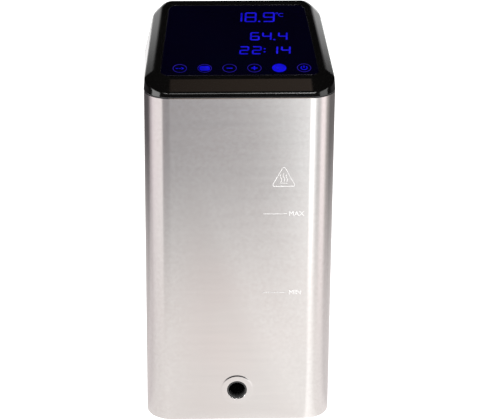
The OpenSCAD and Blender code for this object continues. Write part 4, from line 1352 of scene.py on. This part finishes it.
knob = object_of(turned(knob_section(), 160, (AXIS.x, knob_lo.y, AXIS.z), False, fluted), "clamp_hand_knob")
declare(knob, "clamp_plastic", ["clamp_knob"], "screw")

# %% Shoe rubber
rubber_lo, rubber_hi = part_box("shoe_rubber")
RUBBER_R = (rubber_hi.x - rubber_lo.x) / 2
RIB = [(-0.35 * MM, 0.0), (-0.15 * MM, 0.35 * MM), (0.15 * MM, 0.35 * MM), (0.35 * MM, 0.0)]
section = [(0.4 * MM, 0.0)]
for i in range(1, 6):
    section += [(i * 2 * MM + aside, up) for aside, up in RIB]
section += [(RUBBER_R - 0.35 * MM, 0.0), (RUBBER_R - 0.1 * MM, 0.1 * MM), (RUBBER_R, 0.35 * MM),
            (RUBBER_R, rubber_hi.y - rubber_lo.y)]
pad = object_of(turned(section, 48, (AXIS.x, rubber_lo.y, AXIS.z), closed=False), "clamp_foot_rubber")
declare(pad, "black_rubber", ["shoe_rubber"], "shoe")

# %% [markdown]
# ## Parts inside
#
# The pump, heater, motor, boards and seals keep their CAD shapes: they are right, and they are
# seen only when the casing is off. Each takes the finish of its slot.

# %% Finishes of the CAD parts
kept = 0
for part in frame["record"]["subparts"]:
    obj = frame["nodes"][part["node"]]
    obj.data.materials.clear()
    obj.data.materials.append(FINISH[part["material_slot"]])
    kept += not obj.hide_render
print(kept, "CAD parts kept with a finish")

# %% [markdown]
# ## Floor and light
#
# The object stands on a pale floor in soft light. Steel shows what surrounds it: a graded sheet
# on the table, seen only by reflections, gives the casing its bright, grey and dark bands. The
# sheet is shaded by direction round the casing and by distance, as a ring of cards would be.

# %% Floor and helpers for studio sheets


def facing(at, target):
    """The matrix of something at a place that faces a point."""
    turn = (Vector(at) - Vector(target)).to_track_quat("Z", "Y")
    return Matrix.Translation(at) @ turn.to_matrix().to_4x4()


def stage_plane(name, half_x, half_y, matrix, finish, hidden=("camera", "diffuse", "shadow")):
    """A flat sheet of the studio, hidden from some kinds of ray."""
    bm = bmesh.new()
    signs = ((-1, -1), (1, -1), (1, 1), (-1, 1))
    bm.faces.new([bm.verts.new(matrix @ Vector((x * half_x, y * half_y, 0))) for x, y in signs])
    made = object_of(bm, name)
    made.data.materials.append(finish)
    made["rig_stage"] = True
    for rays in hidden:
        setattr(made, "visible_" + rays, False)
    return made


def glow_finish(name, glow_inputs):
    """A glow whose inputs are worked out from the place on the sheet."""
    made = bpy.data.materials.new(name)
    made.use_nodes = True
    tree = made.node_tree
    tree.nodes.remove(tree.nodes["Principled BSDF"])
    at = node(tree, "ShaderNodeSeparateXYZ", {0: object_place(tree)}).outputs
    glow = node(tree, "ShaderNodeEmission", glow_inputs(tree, at))
    tree.links.new(glow.outputs[0], tree.nodes["Material Output"].inputs["Surface"])
    return made


floor_finish = new_finish("pale_floor", Roughness=0.9, Emission_Strength=0.75, Specular_IOR_Level=0.0,
                          Base_Color=(0.55, 0.55, 0.55, 1), Emission_Color=(1, 1, 1, 1))[0]
floor = stage_plane("floor", 6, 6, Matrix.Identity(4), floor_finish, hidden=("glossy",))
print("floor", floor.dimensions.x, "m wide")

# %% Graded sheet for the reflections
BANDS = [
    (-180, 0.9, 0.88, 0.88), (-174, 0.9, 0.88, 0.88), (-170, 1.8, 1.78, 1.78), (-162, 1.8, 1.78, 1.78),
    (-155, 0.5, 0.48, 0.48), (-146, 0.11, 0.1, 0.105), (-104, 0.11, 0.1, 0.105), (-94, 0.3, 0.27, 0.28),
    (-87, 0.8, 0.72, 0.75), (-78, 0.98, 0.9, 0.92), (-38, 1.04, 0.98, 0.98), (-32, 0.38, 0.36, 0.37),
    (-8, 0.38, 0.37, 0.38), (-1, 0.44, 0.43, 0.44), (0.1, 0.46, 0.45, 0.46), (1.5, 0.56, 0.56, 0.56),
    (4.5, 0.85, 0.85, 0.85), (8, 1.4, 1.4, 1.4), (12, 1.7, 1.7, 1.7), (23, 1.55, 1.55, 1.55),
    (31, 0.95, 0.95, 0.95), (39, 0.64, 0.63, 0.63), (49, 0.66, 0.63, 0.63), (59, 1.1, 1.0, 1.01),
    (73, 1.1, 1.0, 1.0), (83, 0.55, 0.51, 0.5), (95, 0.16, 0.15, 0.15), (146, 0.16, 0.15, 0.15),
    (155, 0.5, 0.48, 0.48), (165, 0.9, 0.88, 0.88), (180, 0.9, 0.88, 0.88),
]
NEAR_BANDS = [
    (-180, 0.9, 0.87, 0.86), (-110, 0.68, 0.64, 0.64), (-92, 0.78, 0.73, 0.73), (-70, 0.92, 0.88, 0.87),
    (-40, 0.96, 0.92, 0.9), (-20, 1.0, 0.96, 0.94), (10, 1.0, 0.97, 0.95), (18, 1.25, 1.22, 1.2),
    (28, 1.15, 1.12, 1.1), (42, 0.94, 0.9, 0.88), (68, 0.92, 0.87, 0.86), (92, 0.7, 0.66, 0.66),
    (180, 0.9, 0.87, 0.86),
]
EVEN = 5.5 * MM
SIDE_TO_SIDE = 1.5
NEAR_AT, FAR_AT = 0.11, 0.56


def sheet_glow(tree, at):
    """Brightness by direction round the casing: one set of bands close to it, another far off."""
    flat = []
    for axis, half in (("X", HALF_W), ("Y", HALF_D)):
        reach = half - CORNER - EVEN
        flat.append(maths(tree, "MAXIMUM", maths(tree, "MINIMUM", at[axis], reach), -reach))
    aside = maths(tree, "SUBTRACT", at["X"], flat[0])
    behind = maths(tree, "SUBTRACT", at["Y"], flat[1])
    around = maths(tree, "ARCTAN2", aside, maths(tree, "MULTIPLY", behind, -1.0))
    share = remap(tree, around, -pi, pi, 0.0, 1.0)
    low, close = [ramp(tree, share, [((angle + 180) / 360, colour) for angle, *colour in stops])
                  for stops in (BANDS, NEAR_BANDS)]
    away = maths(tree, "SQRT", maths(tree, "ADD", maths(tree, "POWER", at["X"], 2.0),
                                     maths(tree, "POWER", at["Y"], 2.0)))
    far = node(tree, "ShaderNodeMapRange", {"Value": away, "From Min": NEAR_AT, "From Max": FAR_AT},
               interpolation_type="SMOOTHSTEP").outputs["Result"]
    slope = maths(tree, "ADD", maths(tree, "MULTIPLY", flat[0], SIDE_TO_SIDE), 1.0)
    return {"Color": colour_mix(tree, far, close, low), "Strength": slope}


stage_plane("graded_sheet", 1.6, 1.6, Matrix.Translation((0, 0, -0.0005)),
            glow_finish("graded_sheet", sheet_glow))
print(len(BANDS), "bands far off and", len(NEAR_BANDS), "close by")

# %% [markdown]
# ### Cards for the head
#
# Gloss black shows nothing but reflections. Two white cards behind draw the pale fades along the
# bevels at the sides, and a warm card high above the front gives the front bevel its brown tone.
# Lamps could do this too, but a card fades by its own shading, so each edge is as soft as wished.

# %% Cards behind the head and above the front
CARD_LIGHT = 3.2
CARD_LOW, CARD_TOP = 0.24, 0.43
CARD_INNER, CARD_OUTER = 0.215, 0.288
WARM = [(0.0, (0.0, 0.0, 0.0)), (0.16, (0.3, 0.22, 0.17)), (0.5, (0.55, 0.4, 0.3)),
        (0.82, (0.75, 0.58, 0.48)), (1.0, (0.0, 0.0, 0.0))]


def card_glow(tree, at):
    """White low down and near the middle, dark higher up and further out."""
    low = remap(tree, at["Z"], CARD_LOW, CARD_TOP, 1.0, 0.0)
    inner = remap(tree, maths(tree, "ABSOLUTE", at["X"]), CARD_INNER, CARD_OUTER, 1.0, 0.0)
    return {"Strength": maths(tree, "MULTIPLY", maths(tree, "MULTIPLY", low, inner), CARD_LIGHT)}


def warm_glow(tree, at):
    """A warm glow that fades out at the card's left and right ends."""
    return {"Color": ramp(tree, remap(tree, at["X"], -0.14, 0.3, 0.0, 1.0), WARM)}


card = glow_finish("back_card", card_glow)
for side, name in ((-1, "back_card_left"), (1, "back_card_right")):
    upright_card = Matrix.Translation((side * 0.24, 0.3, 0.34)) @ Matrix.Rotation(pi / 2, 4, "X")
    stage_plane(name, 0.14, 0.115, upright_card, card)
stage_plane("warm_card", 0.22, 0.15, facing((0.08, -0.55, 1.3), (0.01, 0, CASE_H)),
            glow_finish("warm_card", warm_glow))
print("three cards for the head")

# %% Lights and surroundings


def softbox(name, at, width, height, power, glossy=True):
    """A rectangular lamp that faces the head."""
    data = bpy.data.lights.new(name, "AREA")
    data.shape = "RECTANGLE"
    data.size, data.size_y = width, height
    data.energy = power
    made = linked(name, data)
    made.matrix_world = facing(at, (0, 0, CASE_H))
    made.visible_camera = False
    made.visible_glossy = glossy
    return made


softbox("overhead", (0, -0.3, 1.6), 1.6, 1.2, 14, glossy=False)
softbox("front_strip", (0.06, -1.5, 0.8), 0.5, 0.22, 1.7)
softbox("front_strip_right", (0.42, -1.42, 0.78), 0.6, 0.22, 6.0)
softbox("front_strip_left", (-0.55, -1.35, 0.78), 0.4, 0.2, 1.6)
softbox("left_side", (-1.0, -0.5, 0.35), 0.7, 0.4, 4)
softbox("right_side", (1.0, -0.5, 0.35), 0.7, 0.4, 2)

world = bpy.data.worlds.new("studio")
bpy.context.scene.world = world
world.use_nodes = True
sky = world.node_tree
background = sky.nodes["Background"]
ray = node(sky, "ShaderNodeLightPath").outputs["Is Glossy Ray"]
feed(sky, background, Color=colour_mix(sky, ray, (1.0, 1.0, 1.0, 1), (0.006, 0.006, 0.0065, 1)))
bpy.context.scene.view_settings.view_transform = "Standard"

# %% [markdown]
#
# Both boxes are printed side by side.

# %% Sizes and finish
sizes = {"cad": [list(corner) for corner in cad_box], "visual": [list(corner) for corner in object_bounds()]}
for key, (low, high) in sizes.items():
    print(key, [round((b - a) / MM, 2) for a, b in zip(low, high)], "mm")
